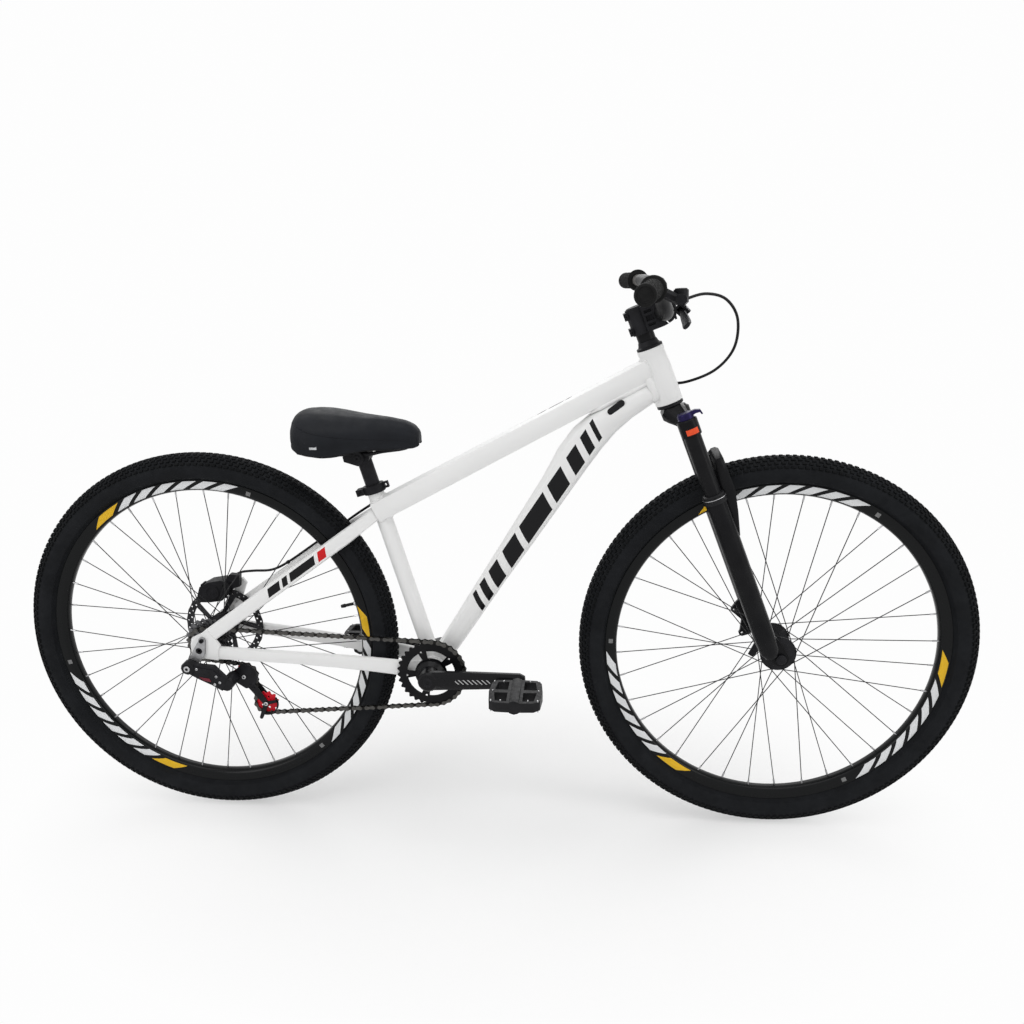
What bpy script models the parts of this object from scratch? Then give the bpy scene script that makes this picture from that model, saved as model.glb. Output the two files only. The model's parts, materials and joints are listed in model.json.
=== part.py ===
"""A hardtail freeride bicycle on 29 inch wheels, built piece by piece.

Frame of the part: metres, +X forward, +Y the rider's left, +Z up. The drive side faces -Y.
The origin is on the ground, in the bicycle's middle plane, midway between the two axles.
Lengths in the lists below are in millimetres and are scaled by MM where a mesh is made.
"""
from math import acos, asin, atan2, cos, degrees, hypot, pi, radians, sin

import bmesh
import bpy
from mathutils import Matrix, Vector

MM = 0.001

# Driving dimensions of the whole bicycle, in millimetres and degrees
WHEELBASE = 1084.0
WHEEL_RADIUS = 368.0
BB_FROM_AXLE = 437.0
BB_HEIGHT = 317.0
HEAD_ANGLE = 68.8
FORK_OFFSET = 29.7
SEAT_ANGLE = 73.9
CRANK_LENGTH = 170.0
CRANK_ANGLE = 3.4
CHAIN_PITCH = 12.7
CHAIN_LINE = 45.0
RING_TEETH = 32
SPROCKET_TEETH = 16
JOCKEY_TEETH = 11
GAP = 0.3
FIT = 0.4

# Heights along the steering axis, from the point nearest to the front axle
CLAMP_LOW = 450.0
CLAMP_HIGH = 480.0
CROWN_TOP = 500.0
HEAD_LOW = 506.0
HEAD_HIGH = 608.0
CUP_HIGH = 622.0
STEM_LOW = 636.0
STEM_HIGH = 682.0
STEERER_TOP = 684.0
SEAL_HEIGHT = 337.0
STANCHION_FOOT = 190.0

# Cross sections
HEAD_TUBE_R = 23.0
HEAD_COLLAR_R = 24.5
SEAT_TUBE_R = 15.5
POST_R = 13.6
BB_SHELL_R = 21.0
BB_HALF = 36.5
STANCHION_R = 15.0
LEG_R = 19.0
LEG_SPREAD = 65.0
LEG_FORWARD = 15.0
CLAMP_R = 17.8
FORK_HALF_WIDTH = 50.0
REAR_HALF_WIDTH = 67.5
DROPOUT_THICK = 7.0
STAY_HALF_HEIGHT = 13.5
STEERER_R = 14.3
BAR_R = 15.9
BAR_END_R = 11.1
BAR_CLAMP = (42.0, 660.0)
HOSE_R = 2.5
HOSE_POINTS = 37
PORT_R = 4.5
ROTOR_R = 80.0
ROTOR_Y = 52.0
ARM_Y = 76.0
PEDAL_LOW = 102.5
PEDAL_HIGH = 195.0
WHEEL_STEPS = 32
LEG_STEPS = 12
STEERER_STEPS = 16

AXLE = Vector((0.0, 0.0, WHEEL_RADIUS))
BB = Vector((BB_FROM_AXLE, 0.0, BB_HEIGHT))


def world(x, y, z):
    """A point given in millimetres from the ground under the rear axle."""
    return Vector((x - WHEELBASE / 2, y, z)) * MM


def pitch_radius(teeth):
    return CHAIN_PITCH / (2 * sin(pi / teeth))


# Materials

def finish(name, colour, roughness, metallic=0.0):
    material = bpy.data.materials.new(name)
    material.use_nodes = True
    shader = material.node_tree.nodes["Principled BSDF"]
    shader.inputs["Base Color"].default_value = (*colour, 1.0)
    shader.inputs["Roughness"].default_value = roughness
    shader.inputs["Metallic"].default_value = metallic
    material.diffuse_color = (*colour, 1.0)
    return material


def make_finishes():
    return {
        "white": finish("white_paint", (0.86, 0.86, 0.85), 0.25),
        "gloss": finish("black_gloss", (0.012, 0.012, 0.014), 0.2),
        "satin": finish("black_satin", (0.02, 0.02, 0.022), 0.45, 0.4),
        "tyre": finish("tyre_rubber", (0.022, 0.022, 0.023), 0.8),
        "grip": finish("grip_rubber", (0.03, 0.03, 0.03), 0.7),
        "vinyl": finish("saddle_vinyl", (0.022, 0.023, 0.026), 0.55),
        "plastic": finish("black_plastic", (0.025, 0.025, 0.026), 0.5),
        "steel": finish("bare_steel", (0.5, 0.5, 0.5), 0.3, 1.0),
        "spoke": finish("black_spoke", (0.04, 0.04, 0.04), 0.35, 0.8),
        "chain": finish("chain_steel", (0.13, 0.12, 0.11), 0.4, 0.9),
        "red": finish("red_pulley", (0.6, 0.01, 0.02), 0.35),
        "violet": finish("violet_knob", (0.05, 0.03, 0.16), 0.4),
        "alloy": finish("grey_alloy", (0.4, 0.4, 0.4), 0.4, 0.9),
    }


# Making meshes

def add_object(name, bm, material, parent=None, sharp=38.0):
    """Turns a bmesh in millimetres into a named object in metres."""
    bmesh.ops.recalc_face_normals(bm, faces=bm.faces)
    bmesh.ops.scale(bm, vec=(MM, MM, MM), verts=bm.verts)
    mesh = bpy.data.meshes.new(name)
    bm.to_mesh(mesh)
    bm.free()
    mesh.shade_smooth()
    mesh.set_sharp_from_angle(angle=radians(sharp))
    if material:
        mesh.materials.append(material)
    thing = bpy.data.objects.new(name, mesh)
    bpy.context.scene.collection.objects.link(thing)
    thing.parent = parent
    return thing


def pivot(name, location, parent=None, turn=(0.0, 0.0, 0.0)):
    """An empty that carries pieces; its location is in metres, its turn in degrees."""
    thing = bpy.data.objects.new(name, None)
    bpy.context.scene.collection.objects.link(thing)
    thing.location = location
    thing.rotation_mode = "XYZ"
    thing.rotation_euler = [radians(angle) for angle in turn]
    thing.parent = parent
    return thing


def tool(name, bm, parent=None):
    """A helper solid for a Boolean; it isn't part of the bicycle."""
    thing = add_object(name, bm, None, parent)
    thing.hide_render = True
    thing.display_type = "WIRE"
    return thing


def combine(thing, bm, operation, parent=None):
    helper = tool(f"{thing.name}_{operation.lower()}_{len(thing.modifiers)}", bm, parent or thing.parent)
    modifier = thing.modifiers.new(helper.name, "BOOLEAN")
    modifier.operation = operation
    modifier.solver = "EXACT"
    modifier.object = helper


def cut(thing, bm, parent=None):
    combine(thing, bm, "DIFFERENCE", parent)


def add(thing, bm, parent=None):
    combine(thing, bm, "UNION", parent)


def ring_edges(bm, points):
    verts = [bm.verts.new(point) for point in points]
    return [bm.edges.new((a, b)) for a, b in zip(verts, verts[1:] + verts[:1])]


def lofted(rings, inner=None):
    """A solid skin through rings of equal count, with a bore when inner rings are given."""
    bm = bmesh.new()
    outer_edges = [ring_edges(bm, ring) for ring in rings]
    for first, second in zip(outer_edges, outer_edges[1:]):
        bmesh.ops.bridge_loops(bm, edges=first + second)
    if not inner:
        for end in (outer_edges[0], outer_edges[-1]):
            bmesh.ops.contextual_create(bm, geom=end)
        return bm
    inner_edges = [ring_edges(bm, ring) for ring in inner]
    for first, second in zip(inner_edges, inner_edges[1:]):
        bmesh.ops.bridge_loops(bm, edges=first + second)
    for index in (0, -1):
        bmesh.ops.bridge_loops(bm, edges=outer_edges[index] + inner_edges[index])
    return bm


def section(centre, along, half_width, half_height, power=2.0, count=12, side=None):
    """A ring of points square to a direction; power 2 is an ellipse, 4 a rounded box."""
    along = Vector(along).normalized()
    side = Vector(side or (0.0, 1.0, 0.0))
    side = (side - along * side.dot(along)).normalized()
    rise = along.cross(side)
    points = []
    for index in range(count):
        angle = 2 * pi * (index + 0.5) / count
        c, s = cos(angle), sin(angle)
        reach = (abs(c) ** power + abs(s) ** power) ** (-1 / power)
        points.append(Vector(centre) + side * (half_width * reach * c) + rise * (half_height * reach * s))
    return points


def turned(profile, steps, axis=(0.0, 1.0, 0.0), centre=(0.0, 0.0, 0.0), closed=False, start=0.0):
    """A solid turned round an axis from (along, radius) pairs, closed when the profile is a loop."""
    axis = Vector(axis).normalized()
    centre = Vector(centre)
    guide = Vector((0.0, 0.0, -1.0)) if abs(axis.z) < 0.9 else Vector((1.0, 0.0, 0.0))
    out = (guide - axis * guide.dot(axis)).normalized()
    out.rotate(Matrix.Rotation(radians(start), 3, axis))
    bm = bmesh.new()
    verts = [bm.verts.new(centre + axis * along + out * radius) for along, radius in profile]
    edges = [bm.edges.new(pair) for pair in zip(verts, verts[1:])]
    if closed:
        edges.append(bm.edges.new((verts[-1], verts[0])))
    bmesh.ops.spin(bm, geom=verts + edges, cent=centre, axis=axis, angle=2 * pi, steps=steps, use_merge=True)
    bmesh.ops.remove_doubles(bm, verts=bm.verts, dist=0.001)
    return bm


def rod(start, end, radius, steps=16, end_radius=None):
    """A solid cylinder or cone between two points."""
    start, end = Vector(start), Vector(end)
    length = (end - start).length
    last = radius if end_radius is None else end_radius
    return turned([(0, 0), (0, radius), (length, last), (length, 0)], steps, end - start, start)


def pipe(low, high, outer, bore, steps=20, axis=(0.0, 0.0, 1.0), centre=(0.0, 0.0, 0.0)):
    profile = [(low, outer), (high, outer), (high, bore), (low, bore)]
    return turned(profile, steps, axis, centre, closed=True)


def box(low, high):
    bm = bmesh.new()
    bmesh.ops.create_cube(bm, size=1.0)
    low, high = Vector(low), Vector(high)
    bmesh.ops.scale(bm, vec=high - low, verts=bm.verts)
    bmesh.ops.translate(bm, vec=(low + high) / 2, verts=bm.verts)
    return bm


def arc(centre, radius, first, last, count):
    """Points on an arc, angles in degrees, both ends included."""
    points = []
    for index in range(count):
        angle = radians(first + (last - first) * index / (count - 1))
        points.append((centre[0] + radius * cos(angle), centre[1] + radius * sin(angle)))
    return points


def circle(centre, radius, count=12):
    return arc(centre, radius, 0, 360 - 360 / count, count)


def capsule(first, second, first_radius, second_radius, count=7):
    """The outline round two circles, as of a link or a lever."""
    dx, dy = second[0] - first[0], second[1] - first[1]
    heading = degrees(atan2(dy, dx))
    lean = degrees(acos((first_radius - second_radius) / hypot(dx, dy)))
    return (arc(second, second_radius, heading - lean, heading + lean, count)
            + arc(first, first_radius, heading + lean, heading - lean + 360, count))


def flat(outline, low, high, holes=()):
    """A plate in the XZ plane between two Y places, with holes. Outlines are (x, z) loops."""
    curve = bpy.data.curves.new("outline", "CURVE")
    curve.dimensions = "2D"
    curve.fill_mode = "BOTH"
    curve.extrude = (high - low) / 2
    for loop in (outline, *holes):
        spline = curve.splines.new("POLY")
        spline.points.add(len(loop) - 1)
        for point, (x, z) in zip(spline.points, loop):
            point.co = (x, z, 0.0, 1.0)
        spline.use_cyclic_u = True
    carrier = bpy.data.objects.new("outline", curve)
    mesh = bpy.data.meshes.new_from_object(carrier)
    bm = bmesh.new()
    bm.from_mesh(mesh)
    bpy.data.objects.remove(carrier)
    bpy.data.curves.remove(curve)
    bpy.data.meshes.remove(mesh)
    bmesh.ops.remove_doubles(bm, verts=bm.verts, dist=0.001)
    bmesh.ops.rotate(bm, cent=(0, 0, 0), matrix=Matrix.Rotation(pi / 2, 3, "X"), verts=bm.verts)
    bmesh.ops.translate(bm, vec=(0, (low + high) / 2, 0), verts=bm.verts)
    return bm


def mirrored(bm):
    """The same shape on the other side of the middle plane."""
    bmesh.ops.scale(bm, vec=(1, -1, 1), verts=bm.verts)
    return bm


def smooth_path(points, count):
    """Evenly spaced points on a smooth curve through a few chosen ones."""
    knots = [Vector(point) for point in points]
    knots = [2 * knots[0] - knots[1], *knots, 2 * knots[-1] - knots[-2]]
    fine = []
    for a, b, c, d in zip(knots, knots[1:], knots[2:], knots[3:]):
        for index in range(20):
            t = index / 20
            fine.append(0.5 * (2 * b + (c - a) * t + (2 * a - 5 * b + 4 * c - d) * t * t
                               + (3 * b - a - 3 * c + d) * t ** 3))
    fine.append(knots[-2])
    reach = [0.0]
    for a, b in zip(fine, fine[1:]):
        reach.append(reach[-1] + (b - a).length)
    path, place = [], 0
    for index in range(count):
        goal = reach[-1] * index / (count - 1)
        while place < len(fine) - 2 and reach[place + 1] < goal:
            place += 1
        share = (goal - reach[place]) / (reach[place + 1] - reach[place])
        path.append(fine[place].lerp(fine[place + 1], share))
    return path


def tube(name, path, radius, material, parent=None):
    """A round tube along points in millimetres, as a curve with filled caps."""
    curve = bpy.data.curves.new(name, "CURVE")
    curve.dimensions = "3D"
    curve.bevel_depth = radius * MM
    curve.bevel_resolution = 2
    curve.use_fill_caps = True
    spline = curve.splines.new("POLY")
    spline.points.add(len(path) - 1)
    for index, point in enumerate(path):
        spline.points[index].co = (*(Vector(point) * MM), 1.0)
    curve.materials.append(material)
    thing = bpy.data.objects.new(name, curve)
    bpy.context.scene.collection.objects.link(thing)
    thing.parent = parent
    return thing


# The frame: places are measured from the ground under the rear axle

SEAT_AXIS = Vector((-cos(radians(SEAT_ANGLE)), 0.0, sin(radians(SEAT_ANGLE))))
STEER_AXIS = Vector((-cos(radians(HEAD_ANGLE)), 0.0, sin(radians(HEAD_ANGLE))))
STEER_AHEAD = Vector((sin(radians(HEAD_ANGLE)), 0.0, cos(radians(HEAD_ANGLE))))
STEER_FOOT = AXLE + Vector((WHEELBASE, 0.0, 0.0)) - STEER_AHEAD * FORK_OFFSET
SEAT_TUBE_TOP = 368.0
COLLAR_LOW = 358.5
TOP_TUBE_LOW = (Vector((372.0, 0.0, 619.0)), Vector((826.0, 0.0, 861.5)))
TOP_TUBE_HALF = (21.0, 19.0)
DOWN_TUBE_EDGES = (
    ((453.0, 307.5), (421.0, 327.5), 19.0),
    ((485.5, 352.5), (453.8, 373.4), 19.5),
    ((579.3, 493.2), (540.4, 515.0), 22.0),
    ((634.0, 571.0), (593.0, 601.0), 24.0),
    ((696.3, 661.4), (648.0, 691.0), 26.0),
    ((730.7, 711.8), (677.0, 746.0), 27.0),
    ((756.0, 747.1), (704.0, 783.0), 27.5),
    ((781.0, 777.5), (737.0, 811.5), 27.5),
    ((808.0, 802.0), (778.0, 835.3), 26.5),
    ((850.0, 832.0), (829.0, 862.5), 24.0),
)
SEATSTAY_PATH = ((24, 66.5, 399), (90, 62, 446), (165, 54, 499), (235, 45, 549), (283, 38, 583),
                 (318, 25, 608), (337, 14, 622))
CHAINSTAY_PATH = ((30, 66.0, 360, 13, 6.5), (100, 61.0, 354.5, 12.5, 7), (180, 54, 347.5, 12.5, 7),
                  (260, 46, 338.5, 13.5, 6.5), (320, 38.5, 330.5, 15, 5.0), (370, 36.3, 324.5, 15.5, 4.8),
                  (400, 31.0, 321, 15.5, 5.5), (430, 27.0, 317.5, 15.5, 6.0))


def seat_point(t, forward=0.0):
    """A point t along the seat tube from the bottom bracket."""
    return BB + SEAT_AXIS * t + Vector((sin(radians(SEAT_ANGLE)), 0.0, cos(radians(SEAT_ANGLE)))) * forward


def steer_point(height):
    return STEER_FOOT + STEER_AXIS * height


def make_top_tube(frame, finishes):
    low_a, low_b = TOP_TUBE_LOW
    along = (low_b - low_a).normalized()
    up = Vector((-along.z, 0.0, along.x))
    ends = ((low_a - along * 26, TOP_TUBE_HALF[0], 23.0), (low_b + along * 22, TOP_TUBE_HALF[1], 22.0))

    def rings(wall):
        return [section(place + up * half, along, width - wall, half - wall, 4.5, 12)
                for place, half, width in ends]

    thing = add_object("top_tube", lofted(rings(0), rings(1.8)), finishes["white"], frame)
    cut(thing, rod(seat_point(250), seat_point(400), SEAT_TUBE_R + GAP, 20), frame)
    cut(thing, rod(steer_point(HEAD_LOW - 20), steer_point(HEAD_HIGH + 20), HEAD_TUBE_R + GAP, 28), frame)
    for first, last in HOSE_PORTS:
        route = [point for point in smooth_path(HOSE_ROUTE, HOSE_POINTS) if first < point.x < last]
        ends = [route[0], *route, route[-1]]
        rings = [section(here, after - before, PORT_R, PORT_R, 2, 8)
                 for before, here, after in zip(ends, route, ends[2:])]
        cut(thing, lofted(rings), frame)


def make_down_tube(frame, finishes):
    def rings(wall):
        found = []
        for (low_x, low_z), (high_x, high_z), half_width in DOWN_TUBE_EDGES:
            low, high = Vector((low_x, 0, low_z)), Vector((high_x, 0, high_z))
            rise = high - low
            along = Vector((rise.z, 0.0, -rise.x))
            half = rise.length / 2 - wall
            found.append(section((low + high) / 2, along, half_width - wall, half, 2.6, 12))
        return found

    thing = add_object("down_tube", lofted(rings(0), rings(1.8)), finishes["white"], frame, 50)
    cut(thing, rod(steer_point(HEAD_LOW - 20), steer_point(HEAD_HIGH + 20), HEAD_COLLAR_R + GAP, 28), frame)
    cut(thing, rod(BB + Vector((0, -60, 0)), BB + Vector((0, 60, 0)), BB_SHELL_R + GAP, 24), frame)
    cut(thing, rod(seat_point(0), seat_point(120), SEAT_TUBE_R + GAP, 20), frame)


def make_seat_tube(frame, finishes):
    bm = pipe(0, SEAT_TUBE_TOP, SEAT_TUBE_R, POST_R + FIT, 16, SEAT_AXIS, BB)
    thing = add_object("seat_tube", bm, finishes["white"], frame)
    cut(thing, rod(BB + Vector((0, -60, 0)), BB + Vector((0, 60, 0)), BB_SHELL_R + GAP, 24), frame)


def make_stays(frame, finishes):
    for side, sign in (("right", -1), ("left", 1)):
        points = [Vector((x, y * sign, z)) for x, y, z in SEATSTAY_PATH]
        rings = []
        for index, point in enumerate(points):
            before, after = points[max(index - 1, 0)], points[min(index + 1, len(points) - 1)]
            half_height = STAY_HALF_HEIGHT if index < 5 else 12.0
            rings.append(section(point, after - before, 6.8, half_height, 4.0, 12))
        stay = add_object(f"seatstay_{side}", lofted(rings), finishes["white"], frame)
        cut(stay, rod(seat_point(250), seat_point(400), SEAT_TUBE_R + GAP, 20), frame)
        cut(stay, box((280, -5, 560), (360, 5, 660)), frame)
        rings = []
        places = [Vector((x, y * sign, z)) for x, y, z, _, _ in CHAINSTAY_PATH]
        for index, (_, _, _, half_height, half_width) in enumerate(CHAINSTAY_PATH):
            before, after = places[max(index - 1, 0)], places[min(index + 1, len(places) - 1)]
            rings.append(section(places[index], after - before, half_width, half_height, 4.0, 12))
        stay = add_object(f"chainstay_{side}", lofted(rings), finishes["white"], frame)
        cut(stay, rod(BB + Vector((0, -60, 0)), BB + Vector((0, 60, 0)), BB_SHELL_R + GAP, 24), frame)


def make_dropouts(frame, finishes):
    """The plates that hold the rear axle, each between the stays' ends, and the drive side's hanger."""
    low, high = REAR_HALF_WIDTH + GAP, REAR_HALF_WIDTH + DROPOUT_THICK
    outline = ([(-17, 380), (-14, 392)] + [(6, 402), (16.5, 411), (29, 393), (40, 376)]
               + [(36, 372), (34, 347.5)] + arc((0, 368), 19, 295, 205, 5))
    bolt_hole = circle((0, 368), 6.4, 12)
    for side, sign in (("right", -1), ("left", 1)):
        bm = flat(outline, low, high, [bolt_hole])
        thing = add_object(f"dropout_{side}", bm if sign > 0 else mirrored(bm), finishes["white"], frame)
        for path, reach in ((SEATSTAY_PATH, 30), (CHAINSTAY_PATH, 30)):
            first = Vector((path[0][0], path[0][1] * sign, path[0][2]))
            second = Vector((path[1][0], path[1][1] * sign, path[1][2]))
            along = (second - first).normalized()
            half = (STAY_HALF_HEIGHT, 6.8) if path is SEATSTAY_PATH else (13.0, 6.5)
            rings = [section(first + along * t, along, half[1] + GAP, half[0] + GAP, 4.0, 12)
                     for t in (-GAP, reach)]
            cut(thing, lofted(rings), frame)
        if side == "left":
            tab = flat([(2, 410), (12, 404), (22, 414), (40, 430), (50, 455), (42, 466), (28, 463), (23, 441),
                        (7, 425)], 59.5, 66.0, [circle((37, 454), 3.3, 8)])
            bridge = flat([(4, 398), (22, 410), (28, 424), (12, 428), (-2, 410)], 60.0, 72.0)
            add(thing, bridge, frame)
            add(thing, tab, frame)
            rings = [section(Vector((x, y, z)), (66, -4.5, 47), 6.8 + GAP, STAY_HALF_HEIGHT + GAP, 4.0, 12)
                     for x, y, z in (SEATSTAY_PATH[0], SEATSTAY_PATH[1])]
            cut(thing, lofted(rings), frame)
    face = REAR_HALF_WIDTH + DROPOUT_THICK + GAP
    outline = (arc(HANGER_BOLT, 9.5, 160, 320, 6) + [(11, 361)] + arc((7, 389), 7.0, -10, 190, 5)
               + [(-12, 368)])
    plate = flat(outline, -face - 5, -face, [circle((0, 368), 6.4, 10), circle(HANGER_BOLT, 4.6, 8)])
    add_object("derailleur_hanger", plate, finishes["alloy"], frame)


def make_head_parts(frame, finishes):
    span = HEAD_HIGH - HEAD_LOW
    foot = steer_point(HEAD_LOW)
    ring = 12.0
    profile = [(0, HEAD_COLLAR_R), (ring, HEAD_COLLAR_R), (ring + 1.5, HEAD_TUBE_R), (span, HEAD_TUBE_R),
               (span, 17.5), (0, 17.5)]
    add_object("head_tube", turned(profile, 24, STEER_AXIS, foot, closed=True), finishes["white"], frame)
    lower = [(CROWN_TOP + GAP, 23.6), (HEAD_LOW - GAP, 23.6), (HEAD_LOW - GAP, 17.1), (HEAD_LOW + 10, 17.1),
             (HEAD_LOW + 10, STEERER_R + GAP), (CROWN_TOP + GAP, STEERER_R + GAP)]
    cup = turned(lower, STEERER_STEPS, STEER_AXIS, STEER_FOOT, closed=True)
    add_object("headset_lower_cup", cup, finishes["satin"], frame)
    upper = [(HEAD_HIGH + GAP, 23.0), (HEAD_HIGH + 3, 23.0), (CUP_HIGH, 16.5), (CUP_HIGH, STEERER_R + GAP),
             (HEAD_HIGH - 10, STEERER_R + GAP), (HEAD_HIGH - 10, 17.1), (HEAD_HIGH + GAP, 17.1)]
    cup = turned(upper, STEERER_STEPS, STEER_AXIS, STEER_FOOT, closed=True)
    add_object("headset_upper_cup", cup, finishes["satin"], frame)


def make_bottom_bracket(frame, finishes):
    shell = pipe(-BB_HALF, BB_HALF, BB_SHELL_R, 17.3, 20, (0, 1, 0), BB)
    add_object("bottom_bracket_shell", shell, finishes["white"], frame)
    profile = [(-39.5, 20.0), (-BB_HALF - GAP, 20.0), (-BB_HALF - GAP, 17.0), (39.5, 17.0),
               (39.5, SPINDLE_R + GAP), (-39.5, SPINDLE_R + GAP)]
    cartridge = turned(profile, 12, (0, 1, 0), BB, closed=True)
    add_object("bottom_bracket_cartridge", cartridge, finishes["satin"], frame)


def make_seat_clamp(frame, finishes):
    outer = 20.5
    post_bore = POST_R + GAP + 0.2
    profile = [(COLLAR_LOW, outer), (374, outer), (374, post_bore), (SEAT_TUBE_TOP + GAP, post_bore),
               (SEAT_TUBE_TOP + GAP, SEAT_TUBE_R + GAP), (COLLAR_LOW, SEAT_TUBE_R + GAP)]
    collar = turned(profile, 16, SEAT_AXIS, BB, closed=True)
    thing = add_object("seat_clamp", collar, finishes["satin"], frame)
    for ahead, low_y, high_y in ((1, -4, 4), (-1, -11, 11)):
        reach = 29.0 if ahead > 0 else 33.0
        middle = 367.4 if ahead > 0 else 366.0
        corners = ((ahead * 18.0, middle - 6), (ahead * reach, middle - 6), (ahead * reach, middle + 6),
                   (ahead * 18.0, middle + 6))
        outline = [(seat_point(t, v).x, seat_point(t, v).z) for v, t in corners]
        slot = [(seat_point(t, v).x, seat_point(t, v).z)
                for v, t in ((22, middle - 2.5), (26, middle - 2.5), (26, middle + 2.5), (22, middle + 2.5))]
        add(thing, flat(outline, low_y, high_y, [slot] if ahead > 0 else []), frame)
    slit = [(seat_point(t, v).x, seat_point(t, v).z)
            for v, t in ((-40, 350), (-13, 350), (-13, 380), (-40, 380))]
    cut(thing, flat(slit, -1.5, 1.5), frame)


# The drive: everything turns in one plane at the chain line

SPINDLE_R = 8.5
HANGER_BOLT = (-19.0, 339.0)
CAGE_PIVOT = (52.0, 305.0)
GUIDE_PULLEY = (72.0, 304.0)
TENSION_PULLEY = (111.0, 248.0)


def toothed(teeth, depth, count_per_tooth=2):
    """The outline of a sprocket whose teeth stay inside the chain's pitch line."""
    tip = pitch_radius(teeth) - (2.9 if teeth > JOCKEY_TEETH else 3.2)
    points = []
    for index in range(teeth):
        for step in range(count_per_tooth):
            radius = tip if step == 0 else tip - depth
            angle = 2 * pi * (index + (step + 0.5) / count_per_tooth) / teeth
            points.append((radius * cos(angle), radius * sin(angle)))
    return points


def tangent(first, first_turn, second, second_turn):
    """Where a belt leaves one wheel and meets the next; a turn is a radius, negative when clockwise."""
    gap = (second[0] - first[0], second[1] - first[1])
    heading = atan2(gap[1], gap[0]) - asin((second_turn - first_turn) / hypot(*gap))
    normal = (-sin(heading), cos(heading))
    return ((first[0] - first_turn * normal[0], first[1] - first_turn * normal[1]),
            (second[0] - second_turn * normal[0], second[1] - second_turn * normal[1]))


def chain_route():
    """Points and normals along the chain's pitch line, once round."""
    wheels = (((BB.x, BB.z), -pitch_radius(RING_TEETH), 14), (TENSION_PULLEY, -pitch_radius(JOCKEY_TEETH), 8),
              (GUIDE_PULLEY, pitch_radius(JOCKEY_TEETH), 5),
              ((AXLE.x, AXLE.z), -pitch_radius(SPROCKET_TEETH), 11))
    route = []
    for index, (centre, turn, count) in enumerate(wheels):
        before, after = wheels[index - 1], wheels[(index + 1) % len(wheels)]
        arrive = tangent(before[0], before[1], centre, turn)[1]
        leave = tangent(centre, turn, after[0], after[1])[0]
        first = atan2(arrive[1] - centre[1], arrive[0] - centre[0])
        last = atan2(leave[1] - centre[1], leave[0] - centre[0])
        if turn < 0 and last > first:
            last -= 2 * pi
        if turn > 0 and last < first:
            last += 2 * pi
        for step in range(count):
            angle = first + (last - first) * step / (count - 1)
            outward = Vector((cos(angle), 0.0, sin(angle)))
            normal = outward if turn < 0 else -outward
            route.append((Vector((centre[0], 0.0, centre[1])) + outward * abs(turn), normal))
    return route


def make_chain(frame, finishes):
    """A band drawn in along the pitch line from both sides, where the teeth stand."""
    outer, tall, waist = 3.6, 4.2, 0.9
    shape = ((-outer, -tall), (0, -waist), (outer, -tall), (outer, tall), (0, waist), (-outer, tall))
    bm = bmesh.new()
    loops = []
    for place, normal in chain_route():
        loops.append(ring_edges(bm, [place + Vector((0, across - CHAIN_LINE, 0)) + normal * up
                                     for across, up in shape]))
    for first, second in zip(loops, loops[1:] + loops[:1]):
        for a, b in zip(first, second):
            bm.faces.new((a.verts[0], a.verts[1], b.verts[1], b.verts[0]))
    add_object("chain", bm, finishes["chain"], frame)


def make_crankset(crank, finishes):
    ring_low, ring_high = -CHAIN_LINE - 1.2, -CHAIN_LINE + 1.2
    windows = []
    for index in range(5):
        middle = 71 + 72 * index
        windows.append(arc((0, 0), 46, middle - 26, middle + 26, 4)
                       + arc((0, 0), 31, middle + 26, middle - 26, 3))
    ring = flat(toothed(RING_TEETH, 3.2), ring_low, ring_high, windows + [circle((0, 0), 13.3, 20)])
    add_object("chainring", ring, finishes["gloss"], crank)
    shaft = rod((0, -ARM_Y + 8, 0), (0, ARM_Y - 8, 0), SPINDLE_R, 16)
    add_object("crank_spindle", shaft, finishes["steel"], crank)
    for side, sign in (("right", -1), ("left", 1)):
        turn = 1 if side == "right" else -1

        def station(x, y, half_height, half_thick):
            return section((x * turn, sign * y, 0), (turn, 0, 0), half_thick, half_height, 3.5, 8)

        tip = ARM_Y + 12.5
        arm = lofted([station(4, ARM_Y, 18.5, 9.0), station(40, ARM_Y + 2, 18, 8.5),
                      station(90, ARM_Y + 6, 17, 8.0), station(150, ARM_Y + 11, 15, 7.5),
                      station(CRANK_LENGTH + 4, tip, 14, 7.0), station(CRANK_LENGTH + 13, tip, 8.5, 6.0)])
        thing = add_object(f"crank_{side}", arm, finishes["gloss"], crank)
        cap = [(ARM_Y + 6.5, 19.5), (ARM_Y + 10, 16.0), (ARM_Y + 10, 0)]
        if side == "right":
            hub = [(41, 0), (41, 13), (47, 13), (47, 28), (51, 28), (58, 21), *cap]
        else:
            hub = [(41, 0), (41, 21), (60, 21), *cap]
        add(thing, turned(hub, 16, (0, sign, 0)), crank)
        cut(thing, rod((0, sign * 38, 0), (0, sign * (ARM_Y - 8 + GAP), 0), SPINDLE_R + GAP, 16), crank)
        eye = CRANK_LENGTH * turn
        cut(thing, rod((eye, sign * 70, 0), (eye, sign * 110, 0), 7.4, 10), crank)


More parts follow.
